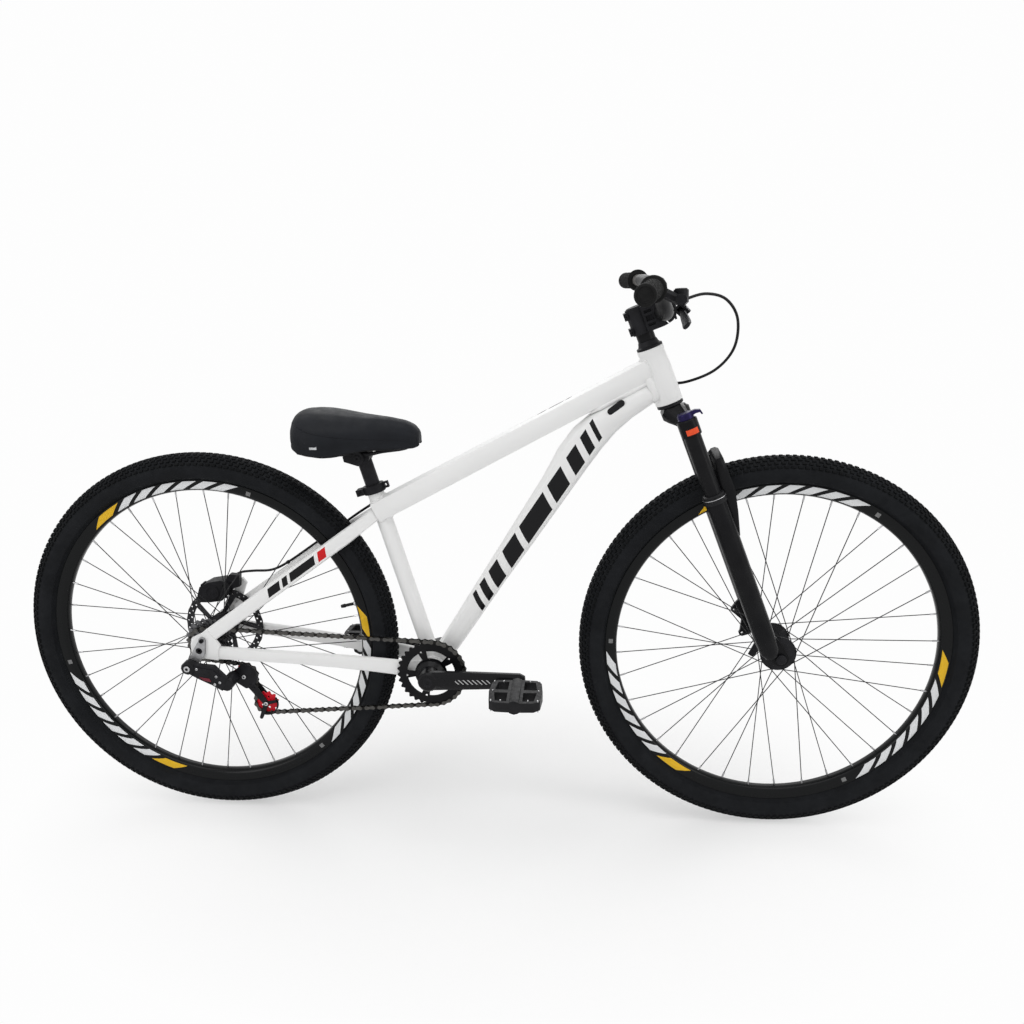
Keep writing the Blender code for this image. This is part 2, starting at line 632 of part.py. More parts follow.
def make_pedals(crank, finishes):
    """Cage pedals on their axles. Each pedal has its own pivot, level with the ground."""
    for side, sign, turn in (("right", -1, 1), ("left", 1, -1)):
        spot = Vector((CRANK_LENGTH * turn, 0, 0)) * MM
        place = pivot(f"pedal_pivot_{side}", spot, crank, (0, CRANK_ANGLE, 0))
        profile = [(82, 0), (82, 7.0), (96.5, 7.0), (96.5, 9.5), (101, 9.5), (101, 6.5), (159, 5.0),
                   (190, 5.0), (190, 0)]
        add_object(f"pedal_axle_{side}", turned(profile, 10, (0, sign, 0)), finishes["steel"], place)
        low, high = PEDAL_LOW, PEDAL_HIGH
        middle = (low + high) / 2
        outline = [(-45, low + 14), (-36, low + 3), (0, low), (36, low + 3), (45, low + 14), (48, middle),
                   (45, high - 12), (34, high - 2), (0, high), (-34, high - 2), (-45, high - 12),
                   (-48, middle)]
        windows = []
        for ahead in (1, -1):
            windows.append([(ahead * 14, low + 9), (ahead * 34, low + 11), (ahead * 38, middle - 5.5),
                            (ahead * 14, middle - 5.5)])
            windows.append([(ahead * 14, middle + 5.5), (ahead * 38, middle + 5.5), (ahead * 34, high - 10),
                            (ahead * 14, high - 8)])
        plate = flat(outline, -9, 9, windows)
        level = Matrix.Rotation(-pi / 2 * sign, 3, "X")
        bmesh.ops.rotate(plate, cent=(0, 0, 0), matrix=level, verts=plate.verts)
        thing = add_object(f"pedal_{side}", plate, finishes["plastic"], place)
        add(thing, rod((0, sign * (low + 0.5), 0), (0, sign * (high - 0.5), 0), 13.0, 10), place)
        cut(thing, rod((0, sign * (low - 3), 0), (0, sign * (high - 4), 0), 7.3, 10), place)


def make_sprocket(freewheel, finishes):
    cog = flat(toothed(SPROCKET_TEETH, 3.2), -CHAIN_LINE - 1.0, -CHAIN_LINE + 1.0, [circle((0, 0), 13.0, 10)])
    thing = add_object("rear_sprocket", cog, finishes["alloy"], freewheel)
    profile = [(-60, 17.5), (-28, 17.5), (-28, 8.9), (-60, 8.9)]
    add(thing, turned(profile, 14, (0, 1, 0), closed=True), freewheel)


def make_derailleur(mech, cage, pulleys, finishes):
    """Sprung tensioner: a body on the hanger, a two-plate cage and two toothed pulleys."""
    face = REAR_HALF_WIDTH + DROPOUT_THICK + 5 + 2 * GAP
    profile = [(face - 6.0, 0), (face - 6.0, 4.2), (face, 4.2), (face, 13.0), (face + 15, 13.0),
               (face + 18, 10.0), (face + 18, 0)]
    body = add_object("derailleur_body", turned(profile, 12, (0, -1, 0)), finishes["satin"], mech)
    dx, dz = CAGE_PIVOT[0] - HANGER_BOLT[0], CAGE_PIVOT[1] - HANGER_BOLT[1]
    link = [(4, 9), (dx * 0.35, 6), (dx * 0.7, 4), (dx + 2, dz + 13), (dx - 8, dz - 12), (dx * 0.6, -34),
            (dx * 0.3, -24), (-2, -11)]
    add(body, flat(link, -face - 13, -face - 3), mech)
    knuckle = rod((dx, -56.2, dz), (dx, -face - 12, dz), 12.5, 12)
    add(body, knuckle, mech)
    guide = (GUIDE_PULLEY[0] - CAGE_PIVOT[0], GUIDE_PULLEY[1] - CAGE_PIVOT[1])
    tension = (TENSION_PULLEY[0] - CAGE_PIVOT[0], TENSION_PULLEY[1] - CAGE_PIVOT[1])
    windows = [arc(tension, 20, middle - 42, middle + 42, 4) + arc(tension, 8, middle + 34, middle - 34, 2)
               for middle in (20, 140, 260)]
    outer = flat(circle(tension, 24.5, 14), -52.5, -50.5, windows)
    thing = add_object("derailleur_cage", outer, finishes["satin"], cage)
    add(thing, flat(capsule((-1, 1), guide, 9, 9, 5), -55.8, -50.5), cage)
    add(thing, flat(capsule(guide, tension, 9, 7, 5), -52.6, -50.4), cage)
    add(thing, flat(capsule(guide, tension, 9, 9, 5), -39.5, -37.5), cage)
    tail = (tension[0] - 12.0, tension[1] - 30.0)
    add(thing, flat(capsule(tension, tail, 6, 3.5, 4), -52.7, -50.3), cage)
    for centre in (guide, tension):
        add(thing, rod((centre[0], -54, centre[1]), (centre[0], -36.5, centre[1]), 2.6, 6), cage)
    for name, spot in (("jockey_wheel_upper", pulleys[0]), ("jockey_wheel_lower", pulleys[1])):
        bore = [circle((0, 0), 5.2, 8)]
        wheel = flat(toothed(JOCKEY_TEETH, 2.6), -CHAIN_LINE - 1.1, -CHAIN_LINE + 1.1, bore)
        pulley = add_object(name, wheel, finishes["red"], spot)
        add(pulley, pipe(40.2, 49.8, 7.5, 3.0, 8, (0, -1, 0)), spot)


# Wheels, each built round its own axle along Y

RIM_LOW = 295.6
RIM_TOP = 317.0
TYRE_HALF = 27.0


def make_wheel(name, parent, finishes, flanges, flange_r, hub_profile):
    crown = WHEEL_RADIUS / cos(pi / WHEEL_STEPS)
    half = 180.0 / WHEEL_STEPS
    skin = [(10.7, 309), (11.3, 318.5), (TYRE_HALF, 337), (TYRE_HALF - 5.5, 356), (7, crown)]
    lining = [(17, 353), (8.5, 309)]
    loop = skin + [(-y, r) for y, r in reversed(skin)] + [(-y, r) for y, r in reversed(lining)] + lining
    add_object(f"{name}_tyre", turned(loop, WHEEL_STEPS, closed=True, start=half), finishes["tyre"], parent)
    wall = [(13.5, RIM_TOP), (13, 304), (6, RIM_LOW)]
    lined = [(10.5, RIM_LOW + 5.4), (11.9, RIM_TOP)]
    loop = wall + [(-y, r) for y, r in reversed(wall)] + [(-y, r) for y, r in reversed(lined)] + lined
    add_object(f"{name}_rim", turned(loop, WHEEL_STEPS, closed=True, start=half), finishes["gloss"], parent)
    band = RIM_LOW - 0.5
    ring = [(-4, band), (4, band), (0, band - 2.8)]
    rim_end = band * cos(pi / WHEEL_STEPS) - 0.5
    hoop = turned(ring, WHEEL_STEPS, closed=True, start=half)
    spokes = add_object(f"{name}_spokes", hoop, finishes["spoke"], parent)
    cluster = bmesh.new()
    for index in range(36):
        flange = flanges[index % 2]
        lead = 1 if index % 4 < 2 else -1
        rim_angle = radians(10 * index)
        hub_angle = rim_angle + radians(60 * lead)
        beside = 3.5 * lead
        start = Vector((flange_r * cos(hub_angle), flange + beside, flange_r * sin(hub_angle)))
        end = Vector((rim_end * cos(rim_angle), 2 if flange > 0 else -2, rim_end * sin(rim_angle)))
        piece = lofted([section(spot, end - start, 1.15, 1.15, 2, 3) for spot in (start, end)])
        mesh = bpy.data.meshes.new("spoke")
        piece.to_mesh(mesh)
        piece.free()
        cluster.from_mesh(mesh)
        bpy.data.meshes.remove(mesh)
    add(spokes, cluster, parent)
    add_object(f"{name}_hub", turned(hub_profile, 12, closed=True), finishes["satin"], parent)


def make_front_wheel(parent, finishes):
    profile = [(-49.7, 8), (-37, 8), (-34.6, 33), (-31.4, 33), (-28, 17), (28, 17), (31.4, 33),
               (34.6, 33), (37, 8), (49.7, 8), (49.7, 3.0), (-49.7, 3.0)]
    make_wheel("front", parent, finishes, (-33, 33), 31.5, profile)


def make_rear_wheel(parent, finishes):
    profile = [(-67.2, 8.5), (-24.6, 8.5), (-24.6, 30), (-21.4, 30), (-18, 16), (28, 16), (31.4, 30),
               (34.6, 30), (37, 19), (50.7, 19), (50.7, 13.5), (54, 13.5), (54, 8.5), (67.2, 8.5),
               (67.2, 6.3), (-67.2, 6.3)]
    make_wheel("rear", parent, finishes, (-23, 33), 28.5, profile)
    windows = []
    for index in range(5):
        middle = 72 * index
        windows.append(arc((0, 0), 63, middle + 4, middle + 62, 4)
                       + arc((0, 0), 28, middle + 72, middle + 26, 3))
    windows.append(circle((0, 0), 14.6, 14))
    disc = flat(circle((0, 0), ROTOR_R, 32), ROTOR_Y - 0.9, ROTOR_Y + 0.9, windows)
    add_object("brake_rotor", disc, finishes["satin"], parent)


def make_rear_axle(frame, finishes):
    end = REAR_HALF_WIDTH + DROPOUT_THICK
    profile = [(-end - 4.5, 6.0), (end + GAP, 6.0), (end + GAP, 11.0), (end + 7, 11.0), (end + 7, 3.2),
               (-end - 4.5, 3.2)]
    add_object("rear_axle", turned(profile, 12, (0, 1, 0), AXLE, closed=True), finishes["satin"], frame)


def make_caliper(frame, finishes):
    outline = [(-46, 434), (-40, 452), (-22, 462), (6, 467), (22, 460), (20, 440), (4, 424), (-22, 420),
               (-40, 420)]
    thing = add_object("brake_caliper", flat(outline, 39.0, 72.0), finishes["satin"], frame)
    cut(thing, rod((0, ROTOR_Y - 2.4, 368), (0, ROTOR_Y + 2.4, 368), ROTOR_R + 4, 48), frame)
    add(thing, flat([(18, 446), (40, 452), (42, 476), (22, 478), (10, 464)], 46.0, 59.0 - GAP), frame)
    add(thing, rod((8, 66, 458), (23, 66, 468.5), 4.6, 10), frame)


# The steering: built round an axis that is upright in its own frame, x ahead and z along the steerer

ARCH_STATIONS = (
    # y, height, place ahead, half depth, half thickness
    (-57.5, 250, 33, 2.5, 4.5),
    (-57.5, 292, 38, 8, 5),
    (-57, 330, 41, 12.5, 5),
    (-53, 362, 42.5, 11, 5),
    (-38, 385, 43.5, 10, 6),
    (0, 395, 44, 9, 7),
)


def make_fork_crown(steer, finishes):
    profile = [(490, 0), (490, STEERER_R), (STEERER_TOP, STEERER_R), (STEERER_TOP, 11.5), (495, 11.5),
               (495, 0)]
    thing = add_object("fork_crown", turned(profile, STEERER_STEPS, (0, 0, 1)), finishes["gloss"], steer)
    half = ((22, 474, CROWN_TOP, 1, 22), (44, 466, CLAMP_HIGH - 0.5, 11, 15),
            (66, 460, CLAMP_HIGH - 0.5, LEG_FORWARD, 12.5))
    rings = []
    for y, low, high, ahead, half_depth in [(-y, *rest) for y, *rest in reversed(half)] + list(half):
        rings.append(section((ahead, y, (low + high) / 2), (0, 1, 0), half_depth, (high - low) / 2, 3.5, 10,
                             (1, 0, 0)))
    add(thing, lofted(rings), steer)
    for sign in (-1, 1):
        clamp = [(CLAMP_LOW, 0), (CLAMP_LOW, CLAMP_R), (CLAMP_HIGH - 2, CLAMP_R), (CLAMP_HIGH, CLAMP_R - 2),
                 (CLAMP_HIGH, 0)]
        add(thing, turned(clamp, 14, (0, 0, 1), (LEG_FORWARD, sign * LEG_SPREAD, 0)), steer)
    for sign in (-1, 1):
        low = Vector((LEG_FORWARD, sign * LEG_SPREAD, CLAMP_LOW - 10))
        high = Vector((LEG_FORWARD, sign * LEG_SPREAD, CLAMP_HIGH - 4))
        cut(thing, rod(low, high, STANCHION_R + FIT, LEG_STEPS), steer)


def make_stanchions(steer, finishes):
    for side, sign in (("right", -1), ("left", 1)):
        centre = (LEG_FORWARD, sign * LEG_SPREAD, 0)
        bm = pipe(STANCHION_FOOT, CLAMP_HIGH - 4.5, STANCHION_R, 12.8, LEG_STEPS, (0, 0, 1), centre)
        add_object(f"stanchion_{side}", bm, finishes["gloss"], steer)


def make_lockout(knob, finishes):
    profile = [(0, 0), (0, 14.0), (8, 14.0), (11, 11.5), (11, 0)]
    seat = (0, 0, CLAMP_HIGH + GAP)
    thing = add_object("lockout_knob", turned(profile, 18, (0, 0, 1), seat), finishes["violet"], knob)
    outline = [(8, 481.5), (18, 484.5), (25, 484), (27, 479), (29.5, 480), (27.5, 488), (19, 491), (8, 491)]
    hook = flat(outline, -4.5, 4.5)
    add(thing, hook, knob)


def make_stem(steer, finishes):
    spacer = pipe(CUP_HIGH + GAP, STEM_LOW - GAP, 15.8, STEERER_R + GAP, STEERER_STEPS)
    add_object("headset_spacer", spacer, finishes["gloss"], steer)
    bar_x, bar_z = BAR_CLAMP
    hold = 22.5
    jaw = arc(BAR_CLAMP, BAR_R + GAP, 97, 263, 9)
    outline = ([(bar_x + 1, bar_z + hold), (12, STEM_HIGH - 0.6), (6, STEM_HIGH - 0.6), (6, STEM_LOW + 0.6),
                (14, STEM_LOW + 0.6), (bar_x - 8, bar_z - hold - 1), (bar_x + 1, bar_z - hold)]
               + list(reversed(jaw)))
    thing = add_object("stem", flat(outline, -25, 25), finishes["satin"], steer)
    cut(thing, rod((0, 0, STEM_LOW - 5), (0, 0, STEM_HIGH + 5), 17.0, STEERER_STEPS), steer)
    add(thing, pipe(STEM_LOW, STEM_HIGH, 20.0, STEERER_R + GAP, STEERER_STEPS), steer)
    for low in (STEM_LOW + 2, STEM_HIGH - 16):
        add(thing, box((-24, -11, low), (-16, 11, low + 13)), steer)
    cut(thing, box((-30, -1.5, STEM_LOW - 5), (-10, 1.5, STEM_HIGH + 5)), steer)
    for sign in (-1, 1):
        cut(thing, box((10, sign * 26 - 7, STEM_LOW + 9), (23, sign * 26 + 7, STEM_HIGH - 9)), steer)
    plate = (arc(BAR_CLAMP, hold, -84, 84, 9) + arc(BAR_CLAMP, BAR_R + GAP, 83, -83, 9))
    add_object("stem_faceplate", flat(plate, -24, 24), finishes["satin"], steer)


BAR_PATH = ((42, 0, 660, BAR_R), (42, 34, 660, BAR_R), (42, 50, 661, 15.0), (42, 72, 671, 13.2),
            (41.5, 100, 690, 12.0), (41, 125, 703.5, 11.4), (39, 155, 709.8, BAR_END_R),
            (29.7, 215, 712.4, BAR_END_R), (9.8, 343, 715.9, BAR_END_R))


def bar_spot(y):
    """The handlebar's centre at a distance from the middle, on its straight outer part."""
    a, b = Vector(BAR_PATH[-2][:3]), Vector(BAR_PATH[-1][:3])
    share = (abs(y) - a.y) / (b.y - a.y)
    spot = a.lerp(b, share)
    return Vector((spot.x, spot.y if y > 0 else -spot.y, spot.z))


def make_handlebar(steer, finishes):
    stations = [(x, -y, z, r) for x, y, z, r in reversed(BAR_PATH[1:])] + list(BAR_PATH)

    def rings(wall):
        found = []
        for index, (x, y, z, radius) in enumerate(stations):
            before, after = stations[max(index - 1, 0)], stations[min(index + 1, len(stations) - 1)]
            along = Vector(after[:3]) - Vector(before[:3])
            found.append(section((x, y, z), along, radius - wall, radius - wall, 2.0, 9, (1, 0, 0)))
        return found

    add_object("handlebar", lofted(rings(0), rings(2.4)), finishes["satin"], steer)
    for side, sign in (("right", -1), ("left", 1)):
        inner, outer = bar_spot(sign * 226), bar_spot(sign * 346)
        along = outer - inner
        reach = along.length
        bore = BAR_END_R + GAP + 0.15
        profile = [(0, bore), (0, 20.5), (5, 20.5), (6, 16.0), (reach - 4, 16.0), (reach, 14.5), (reach, 0),
                   (reach - 2.2, 0), (reach - 2.2, bore)]
        bm = turned(profile + [(0, bore)], 16, along, inner)
        add_object(f"grip_{side}", bm, finishes["grip"], steer)


# The brake lever's own frame, in the middle of its clamp on the bar: x away from the bar,
# y inboard along the bar, z along the blade's pin
LEVER_PLACE = bar_spot(-192)
LEVER_INBOARD = (bar_spot(-192) - bar_spot(-226)).normalized()
LEVER_AWAY = Vector((0.47, 0.0, -0.88))
LEVER_AWAY = (LEVER_AWAY - LEVER_INBOARD * LEVER_AWAY.dot(LEVER_INBOARD)).normalized()
LEVER_TURN = Matrix((LEVER_AWAY, LEVER_INBOARD, LEVER_AWAY.cross(LEVER_INBOARD))).transposed()
LEVER_PIN = Vector((56.0, 32.0, -2.0))
LEVER_PIN_R = 2.4
BAR_SEAT_R = BAR_END_R + 0.8


def lever_point(x, y, z):
    """A point of the brake lever's frame in the steering's frame."""
    return LEVER_PLACE + LEVER_TURN @ Vector((x, y, z))


def make_brake_lever(place, blade, finishes):
    band = pipe(-8, 8, 17.5, BAR_SEAT_R, 12, (0, 1, 0))
    thing = add_object("brake_lever_body", band, finishes["satin"], place)
    neck = (27, 5, 7)
    add(thing, lofted([section(spot, neck, 9, 8, 3, 8) for spot in ((13, 1, 2), (40, 6, 9))]), place)
    cut(thing, rod((0, -40, 0), (0, 40, 0), BAR_SEAT_R, 12), place)
    add(thing, rod((44, 57, 7.5), (41, -10, 13.5), 9.0, 10), place)
    add(thing, rod((44, 11, 8), (31, 11.5, 22), 11.5, 10), place)
    add(thing, box(LEVER_PIN + Vector((-13, -9, -8)), LEVER_PIN + Vector((8, 13, 8))), place)
    cut(thing, box(LEVER_PIN + Vector((-9.5, -30, -4.2)), LEVER_PIN + Vector((20, 10, 4.2))), place)
    add(thing, rod(LEVER_PIN + Vector((0, 0, -7)), LEVER_PIN + Vector((0, 0, 7)), LEVER_PIN_R, 8), place)
    rings = [section((x, y, z), (0.1, -1, 0), half_deep, half_high, 3, 10, (1, 0, 0))
             for x, y, z, half_deep, half_high in (
                 (0, 6.5, 0, 6, 3.7), (0.5, -9, 0, 6, 3.7), (3, -30, 0, 4.5, 5.5), (8, -55, 0, 3.5, 7),
                 (13, -85, 0.5, 3.5, 7.5), (15, -108, 1, 3.5, 7.5), (15.5, -119, 1.5, 3, 6))]
    thing = add_object("brake_lever_blade", lofted(rings), finishes["satin"], blade)
    cut(thing, rod((0, 0, -20), (0, 0, 20), LEVER_PIN_R + GAP, 8), blade)


TAB_HOLES = ((-16.5, 70.0), (-18.0, 19.0))
TAB_LOW = 58.6
TAB_HIGH = 65.6


def make_fork_lowers(lowers, finishes):
    """One casting: two legs with bores, the arch over the tyre, the axle ends and the caliper tabs."""
    thing = None
    for sign in (-1, 1):
        centre = (LEG_FORWARD, sign * LEG_SPREAD, 0)
        profile = [(14, 0), (14, 12), (26, 17.5), (60, LEG_R), (SEAL_HEIGHT - 14, LEG_R),
                   (SEAL_HEIGHT - 12, 20.5), (SEAL_HEIGHT, 20.5), (SEAL_HEIGHT, STANCHION_R + FIT),
                   (80, STANCHION_R + FIT), (80, 0)]
        leg = turned(profile, LEG_STEPS, (0, 0, 1), centre)
        if thing:
            add(thing, leg, lowers)
        else:
            thing = add_object("fork_lowers", leg, finishes["gloss"], lowers)
    rings = []
    full = list(ARCH_STATIONS) + [(-y, *rest) for y, *rest in reversed(ARCH_STATIONS[:-1])]
    for index, (y, z, x, half_deep, half_thick) in enumerate(full):
        before, after = full[max(index - 1, 0)], full[min(index + 1, len(full) - 1)]
        along = (0, after[0] - before[0], after[1] - before[1])
        rings.append(section((x, y, z), along, half_deep, half_thick, 3, 8, (1, 0, 0)))
    add(thing, lofted(rings), lowers)
    for sign in (-1, 1):
        low, high = FORK_HALF_WIDTH + GAP, FORK_HALF_WIDTH + 8.5
        outline = capsule((LEG_FORWARD, 48), (FORK_OFFSET, 0), 18.0, 15.0, 6)
        end = flat(outline, low, high, [circle((FORK_OFFSET, 0), 3.0, 8)])
        add(thing, end if sign > 0 else mirrored(end), lowers)
    tabs = flat([(6, 90), (-8, 84)] + arc(TAB_HOLES[0], 6.5, 110, 235, 4) + [(-10, 46)]
                + arc(TAB_HOLES[1], 6.5, 110, 250, 4) + [(-4, 12), (8, 20)], TAB_LOW, TAB_HIGH,
                [circle(spot, 2.8, 6) for spot in TAB_HOLES])
    add(thing, tabs, lowers)


SKEWER_PIN_Y = 71.0
SKEWER_TURN = 141.5


def make_front_skewer(axle, lever, finishes):
    """The hollow hub's rod with its nut, and a cam lever hinged on a pin square to the rod.

    The lever's own frame has x along the lever and z along its pin.
    """
    near = FORK_HALF_WIDTH + 8.5 + GAP
    profile = [(-near - 7, 0), (-near - 7, 6), (-near - 5, 9.5), (-near, 9.5), (-near, 2.5), (near, 2.5),
               (near, 9.0), (near + 4, 9.0), (near + 4, 4.0), (SKEWER_PIN_Y, 4.0), (SKEWER_PIN_Y, 0)]
    thing = add_object("front_skewer", turned(profile, 12), finishes["satin"], axle)
    add(thing, rod((0, 0, -5), (0, 0, 5), 6.0, 8), lever)
    add(thing, rod((0, 0, -8.3), (0, 0, 8.3), 2.2, 6), lever)
    arm = lofted([section((x, 0, 0), (1, 0, 0), half_thick, half_wide, 3, 8)
                  for x, half_thick, half_wide in ((8, 4, 9.5), (30, 3.5, 9.0), (60, 2.5, 6))])
    thing = add_object("skewer_lever", arm, finishes["satin"], lever)
    for low in (-8.4, 5.4):
        add(thing, box((-5.5, -4.6, low), (14, 4.6, low + 3)), lever)
    cut(thing, rod((0, 0, -12), (0, 0, 12), 2.2 + FIT, 6), lever)


# The seat

SADDLE_TILT = Vector((314.0, 0.0, 737.0))


def make_seatpost(post, finishes):
    profile = [(128, POST_R), (424, POST_R), (424, 11.3), (128, 11.3)]
    thing = add_object("seatpost", turned(profile, 16, SEAT_AXIS, BB, closed=True), finishes["satin"], post)
    top = seat_point(430)
    neck = lofted([section(seat_point(420), SEAT_AXIS, POST_R - 0.2, POST_R - 0.2, 2.2, 10),
                   section(top + Vector((-3, 0, 0)), SEAT_AXIS, 15, 15, 3.0, 10)])
    add(thing, neck, post)
    outline = [(286, 722), (312, 714), (330, 722), (334, 730), (331, 742), (290, 742), (284, 731)]
    cradle = flat(outline, -18, 18)
    add(thing, cradle, post)
    add(thing, rod((SADDLE_TILT.x, -28, 726), (SADDLE_TILT.x, 28, 726), 3.2, 6), post)
    for sign in (-1, 1):
        cheek = rod((SADDLE_TILT.x, sign * 25.8, 731), (SADDLE_TILT.x, sign * 29, 731), 11.5, 10)
        add(thing, cheek, post)


SADDLE_STATIONS = (
    # x, half width, bottom at the edge, bottom in the middle, top
    (199, 40, 764, 767, 791),
    (206, 60, 756, 761, 805),
    (218, 74, 750, 757, 813),
    (240, 81, 744, 753, 817),
    (268, 78, 741, 751, 815),
    (298, 66, 742, 751, 811),
    (328, 51, 744, 751, 807),
    (358, 39, 745, 751, 803),
    (388, 30, 746, 751, 798),
    (412, 25, 748, 752, 790),
    (426, 17, 751, 754, 778),
)


def make_saddle(seat, finishes):
    """The padded top with its crown and drawn-in flanks, and the two rails joined at the nose."""
    rings = []
    for x, half, edge, middle, top in SADDLE_STATIONS:
        tall = top - edge
        shape = ((0, top), (0.34, top - 0.03 * tall), (0.64, top - 0.13 * tall), (0.87, top - 0.32 * tall),
                 (0.99, top - 0.56 * tall), (0.97, top - 0.82 * tall), (0.90, edge), (0.62, edge + 2.5),
                 (0.3, middle))
        right = [(half * share, z) for share, z in shape] + [(0, middle)]
        left = [(-y, z) for y, z in reversed(right[1:-1])]
        rings.append([Vector((x, y, z)) - SADDLE_TILT for y, z in right + left])
    add_object("saddle", lofted(rings), finishes["vinyl"], seat, 60)
    half = [(226, 33, 747), (246, 27, 742), (268, 23, 737.5), (292, 22, 737), (334, 22, 738),
            (358, 20, 742.5), (388, 12, 745), (400, 5, 746.5)]
    route = [(x, -y, z) for x, y, z in half] + [(402, 0, 747)] + [(x, y, z) for x, y, z in reversed(half)]
    path = smooth_path([Vector(point) - SADDLE_TILT for point in route], 17)
    tube("saddle_rails", path, 3.5, finishes["satin"], seat)


# The brake hose, from the lever round the head tube, through the top tube and down the left seatstay

def steered(x, y, z):
    """A point of the steering's own frame, from the ground under the rear axle."""
    return STEER_FOOT + STEER_AHEAD * x + Vector((0, y, 0)) + STEER_AXIS * z


HOSE_ROUTE = (
    steered(*lever_point(44.0, 58.4, 7.4)),
    steered(*lever_point(44.5, 72.0, 7.0)),
    Vector((916, -96, 1019)),
    Vector((953, -70, 1009)),
    Vector((978, -40, 975)),
    Vector((979, -10, 924)),
    Vector((952, 14, 884)),
    Vector((905, 30, 861)),
    Vector((866, 34.5, 858)),
    Vector((826, 31, 858)),
    Vector((792, 22, 856)),
    Vector((755, 8, 843)),
    Vector((700, 2, 815)),
    Vector((600, 0, 762)),
    Vector((500, 0, 709)),
    Vector((440, 4, 676)),
    Vector((400, 15, 654)),
    Vector((368, 25, 643)),
    Vector((338, 29, 638)),
    Vector((306, 36, 619)),
    Vector((262, 42, 588)),
    Vector((200, 50, 544)),
    Vector((140, 57, 502)),
    Vector((104, 61, 484)),
    Vector((66, 64.5, 480)),
    Vector((40, 66, 476.5)),
    Vector((24.5, 66, 469.6)),
)
HOSE_PORTS = ((740.0, 880.0), (325.0, 460.0))


def make_hose(frame, finishes):
    tube("brake_hose", smooth_path(HOSE_ROUTE, HOSE_POINTS), HOSE_R, finishes["plastic"], frame)


def build():
    for thing in list(bpy.data.objects):
        bpy.data.objects.remove(thing)
    finishes = make_finishes()
    frame = pivot("frame", world(0, 0, 0))
    make_top_tube(frame, finishes)
    make_down_tube(frame, finishes)
    make_seat_tube(frame, finishes)
    make_stays(frame, finishes)
    make_dropouts(frame, finishes)
    make_head_parts(frame, finishes)
    make_bottom_bracket(frame, finishes)
    make_seat_clamp(frame, finishes)
    make_chain(frame, finishes)
    make_rear_axle(frame, finishes)
    make_caliper(frame, finishes)
    make_hose(frame, finishes)
    make_seatpost(frame, finishes)
    make_saddle(pivot("saddle_pivot", SADDLE_TILT * MM, frame), finishes)
    crank = pivot("crank_pivot", BB * MM, frame, (0, -CRANK_ANGLE, 0))
    make_crankset(crank, finishes)
    make_pedals(crank, finishes)
    make_sprocket(pivot("sprocket_pivot", AXLE * MM, frame), finishes)
    make_rear_wheel(pivot("rear_wheel_pivot", AXLE * MM, frame), finishes)
    mech = pivot("derailleur_pivot", Vector((HANGER_BOLT[0], 0, HANGER_BOLT[1])) * MM, frame)
    cage = pivot("cage_pivot", Vector((CAGE_PIVOT[0], 0, CAGE_PIVOT[1])) * MM, frame)
    pulleys = [pivot(f"pulley_pivot_{name}", Vector((x, 0, z)) * MM, frame)
               for name, (x, z) in (("upper", GUIDE_PULLEY), ("lower", TENSION_PULLEY))]
    make_derailleur(mech, cage, pulleys, finishes)
    lean = pivot("steering_lean", STEER_FOOT * MM, frame, (0, HEAD_ANGLE - 90, 0))
    steer = pivot("steering", (0, 0, 0), lean)
    make_fork_crown(steer, finishes)
    make_stanchions(steer, finishes)
    make_stem(steer, finishes)
    make_handlebar(steer, finishes)
    knob = pivot("lockout_pivot", Vector((LEG_FORWARD, -LEG_SPREAD, 0)) * MM, steer)
    make_lockout(knob, finishes)
    turn = [degrees(angle) for angle in LEVER_TURN.to_euler("XYZ")]
    place = pivot("lever_clamp", LEVER_PLACE * MM, steer, turn)
    make_brake_lever(place, pivot("blade_pivot", LEVER_PIN * MM, place), finishes)
    make_fork_lowers(steer, finishes)
    axle = pivot("front_axle_pivot", Vector((FORK_OFFSET, 0, 0)) * MM, steer)
    lever = pivot("skewer_lever_pivot", Vector((0, SKEWER_PIN_Y, 0)) * MM, axle, (0, SKEWER_TURN, 0))
    make_front_skewer(axle, lever, finishes)
    make_front_wheel(axle, finishes)


build()
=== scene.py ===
"""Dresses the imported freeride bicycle: finishes, fine pieces and a plain white studio.

Frame of the scene: metres, +X forward, +Y the rider's left, +Z up, the ground at zero.
Most pieces are built in millimetres in a group's own frame, such as the steering's or a
wheel's, and are placed in the world when their mesh is finished.
"""
import json
from math import asin, atan2, cos, hypot, pi, radians, sin

import bmesh
import bpy
from bpy.props import FloatProperty, FloatVectorProperty, IntProperty, PointerProperty
from mathutils import Matrix, Vector
from mathutils.bvhtree import BVHTree


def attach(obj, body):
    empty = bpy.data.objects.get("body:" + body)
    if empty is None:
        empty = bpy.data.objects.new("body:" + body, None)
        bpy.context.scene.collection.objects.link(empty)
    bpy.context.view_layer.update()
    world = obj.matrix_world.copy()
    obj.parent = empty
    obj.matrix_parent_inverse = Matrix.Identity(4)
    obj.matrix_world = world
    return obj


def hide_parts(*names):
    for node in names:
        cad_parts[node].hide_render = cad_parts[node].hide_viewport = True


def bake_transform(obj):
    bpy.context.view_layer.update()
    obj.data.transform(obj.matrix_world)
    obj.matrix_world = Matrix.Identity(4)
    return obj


bl_info = {
    "name": "Freeride bicycle dresser",
    "version": (1, 0, 0),
    "blender": (4, 5, 0),
    "location": "3D View > Sidebar > Bicycle",
    "description": "Adds finishes and fine pieces to the packed bicycle and sets up a studio",
    "category": "Object",
}

